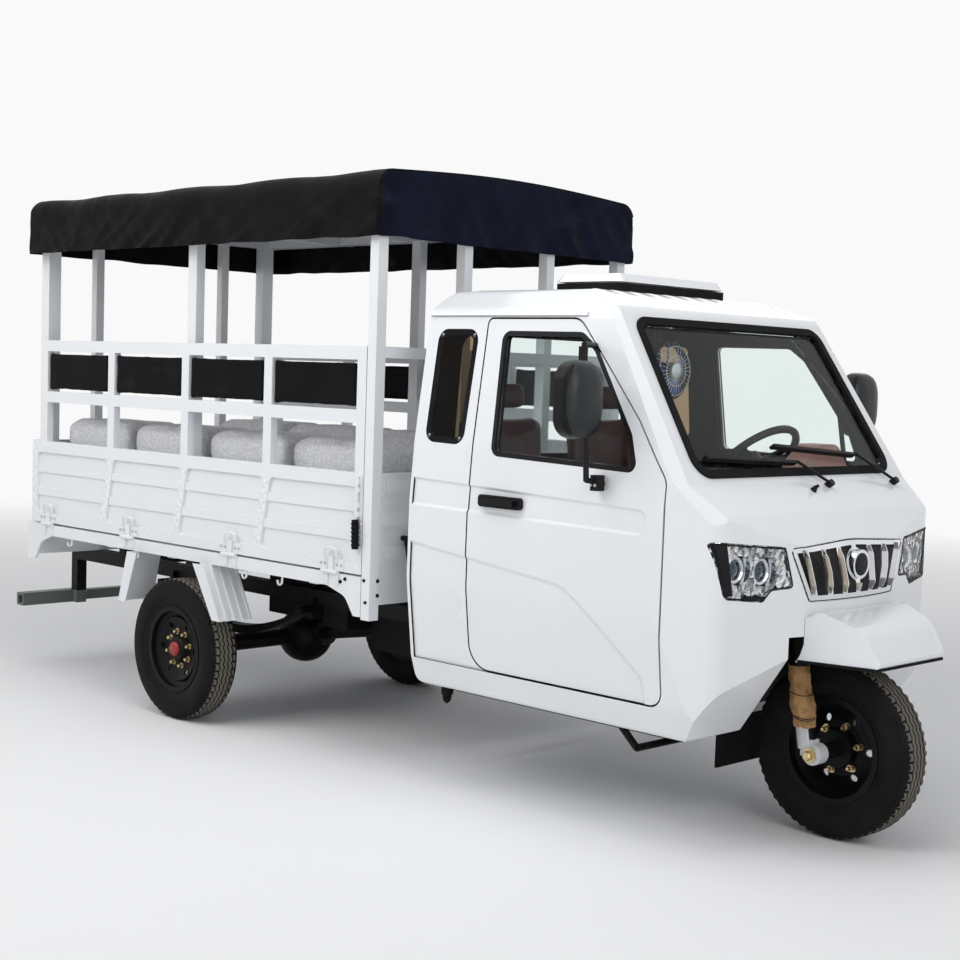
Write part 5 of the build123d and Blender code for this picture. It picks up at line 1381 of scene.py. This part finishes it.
def make_lamp_borders():
    """Dark edge round each headlamp lens and round the grille."""
    band = Shape()
    right = round_outline(LAMP_OUTLINE)
    left = [(-y, z) for y, z in reversed(right)]
    for outline in (right, left):
        border(band, surface("headlamp_lenses"), outline, 0.0080, 0.0030, 0.0018)
    border(band, surface("grille"), round_outline(GRILLE_OUTLINE), 0.0055, 0.0025, 0.0010)
    edge = band.make("lamp_borders", black_plastic, "chassis", "black_plastic")
    edge.modifiers.new("thick", "SOLIDIFY").thickness = 0.0008


def make_roof_ribs():
    """Pressed ribs across the front of the cab roof, running fore and aft."""
    ribs = Shape()
    skin = surface("cab_roof")
    for rib in range(RIBS):
        y = -0.45 + 0.09 * rib
        rings = []
        for step in range(RIB_STEPS + 1):
            place = skin.ray_cast(at(1.955 + 0.175 * step / RIB_STEPS, y, 2.5), -UPWARD)[0]
            if not place:
                continue
            share = sin(pi * step / RIB_STEPS) ** 0.5
            half = 0.013 * max(share, 0.05)
            rings.append([
                place + Vector((0, half * cos(turn), -0.0015 + 0.0062 * share * sin(turn)))
                for turn in half_turn(8)
            ])
        if len(rings) > 3:
            ribs.loft(rings)
    ribs.make("roof_ribs", white_gloss, "chassis", "white_paint")


def fin_ring(place, share, taper):
    """Section of a grille fin: a foot and a narrow ridge that leans outward."""
    ridge = (0.015 * taper, 0.006 * share)
    section = (
        (-0.002, -0.0115 * taper), (0.002, -0.0110 * taper), (ridge[0], ridge[1] - 0.0016),
        (ridge[0], ridge[1] + 0.0016), (0.002, 0.0110 * taper), (-0.002, 0.0115 * taper),
    )
    return [place + Vector((x, y, 0)) for x, y in section]


def make_grille_trim():
    """Ridged chrome fins over the grille bars, their side faces toned with painted reflection and shade, and
    the blank face of the badge.
    """
    fins = Shape()
    skin = surface("grille")
    for index in range(GRILLE_BARS):
        share = 2 * index / (GRILLE_BARS - 1) - 1
        rings = []
        for step in range(FIN_STEPS + 1):
            z = FIN_Z[0] + (FIN_Z[1] - FIN_Z[0]) * step / FIN_STEPS
            rise = (z - GRILLE_Z[0]) / (GRILLE_Z[1] - GRILLE_Z[0])
            y = share * (GRILLE_BAR_Y[0] + (GRILLE_BAR_Y[1] - GRILLE_BAR_Y[0]) * rise)
            place = skin.ray_cast(Vector((2.4, y, z)), -FORWARD)[0]
            if place and hypot(y, z - BADGE_CENTRE[1]) >= BADGE_CLEAR:
                rings.append(fin_ring(place, share, min(1.0, 0.35 + 0.22 * min(step, FIN_STEPS - step))))
        upper = [ring for ring in rings if ring[0].z > BADGE_CENTRE[1]]
        lower = [ring for ring in rings if ring[0].z <= BADGE_CENTRE[1]]
        for part in ([rings] if index != GRILLE_BARS // 2 else [lower, upper]):
            if len(part) > 1:
                fins.loft(part)
    mesh = fins.make("grille_fins", chrome, "chassis", "chrome", angle=25.0).data
    # painted reflection: every side face of a fin gets a smoked tone, and painted shade makes those turned
    # towards the middle dark
    second_material(mesh, fin_side_reflection, lambda place, normal: abs(normal.y) > 0.2)
    second_material(mesh, dark_chrome, lambda place, normal: abs(normal.y) > 0.2 and normal.y * place.y < 0.0)
    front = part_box("grille")[1].x
    badge = Shape().turned((front - 0.001, *BADGE_CENTRE), FORWARD, BADGE, 40)
    badge.make("badge_face", black_plastic, "chassis", "black_plastic")


def mirror_outline(x, share, sign):
    """Rounded outline of the mirror at one x."""
    ring = []
    for turn in turns(44):
        across, rise = (copysign(abs(part) ** MIRROR_POWER, part) for part in (cos(turn), sin(turn)))
        y = sign * (MIRROR_CENTRE[0] + MIRROR_HALF[0] * share * across)
        ring.append(at(x, y, MIRROR_CENTRE[1] + MIRROR_HALF[1] * share * rise))
    return ring


def make_mirror(label, sign):
    """Domed mirror shell with its glass, and the clamps of the mirror arm."""
    body = "door_" + label
    shell = Shape().loft([mirror_outline(x, share, sign) for x, share in MIRROR_RINGS])
    shell.make("mirror_shell_" + label, mirror_plastic, body, "black_plastic", angle=50.0)
    pane = Shape().loft([mirror_outline(x, share, sign) for x, share in MIRROR_PANE])
    pane.make("mirror_glass_" + label, chrome, body, "chrome")
    clamp = Shape()
    for (x, y, z), (length, width, height) in CLAMPS:
        y *= sign
        clamp.slab((x - length, x + length), (y - width, y + width), (z - height, z + height), 0.006)
    clamp.make("mirror_clamps_" + label, black_plastic, body, "black_plastic")
    screws = Shape()
    for hop in (-0.008, 0.008):
        screws.bolt(at(2.205 + hop, sign * 0.688, 1.108), (0, sign, 0), 0.0035, 0.004)
    screws.make("mirror_screws_" + label, zinc, body, "chrome")


def make_drains():
    """Pointed rubber drains under the cab floor."""
    drains = Shape()
    for _, sign in SIDES:
        drains.turned(at(1.455, sign * 0.550, 0.3495), -UPWARD, DRAIN, 20)
    drains.make("drain_spouts", black_rubber, "chassis", "rubber_black")


def make_washer():
    """Washer nozzle on the scuttle."""
    place, normal = surface("cab_front").ray_cast(at(2.545, 0.0, 1.6), -UPWARD)[:2]
    nozzle = Shape().turned(place, normal, NOZZLE_FOOT, 18)
    nozzle.turned(place + normal * 0.013, (0.8, 0, 0.5), NOZZLE_JET, 12)
    nozzle.make("washer_nozzle", black_plastic, "chassis", "black_plastic")


def make_fan():
    """Wire guard of the cab fan; its blades are blue."""
    centre = at(*FAN_CENTRE)

    def is_blade(place, normal):
        away = place - centre
        return 0.0285 < hypot(away.y, away.z) < 0.0885 and abs(away.x - 0.005) < 0.03

    second_material(nodes["cab_fan"].data, blue_plastic, is_blade)
    guard = Shape()
    for turn in turns(30):
        way = Vector((0, cos(turn), sin(turn)))
        guard.tube([centre + way * radius + FORWARD * lift for radius, lift in FAN_WIRE], 0.0011, 5)
    for radius, lift in FAN_RINGS:
        around = turns(36, extra=1)
        loop = [centre + Vector((lift, radius * cos(turn), radius * sin(turn))) for turn in around]
        guard.tube(loop, 0.0013, 5)
    guard.turned(centre + FORWARD * 0.040, FORWARD, FAN_BOSS, 24)
    guard.make("fan_guard", zinc, "chassis", "chrome")


make_camera()
dress_nodes()
make_tyre("front_tyre", "front_wheel")
for label, _ in SIDES:
    make_tyre("rear_tyre_" + label, "rear_wheel_" + label)
make_canopy()
make_bench_cushions()
make_gate_pads()
make_cab_seats()
for label, sign in SIDES:
    make_rear_hub(label, sign)
make_front_nuts()
for label, sign in SIDES:
    make_fork_wrap(label, sign)
make_fender_lip()
for label, sign in SIDES:
    make_gate_trim(label, sign)
make_bed_trim()
make_window_screws()
make_lamps()
make_lamp_borders()
make_roof_ribs()
make_washer()
make_fan()
make_grille_trim()
for label, sign in SIDES:
    make_mirror(label, sign)
make_drains()
make_stage()
scene.view_settings.view_transform = "Standard"
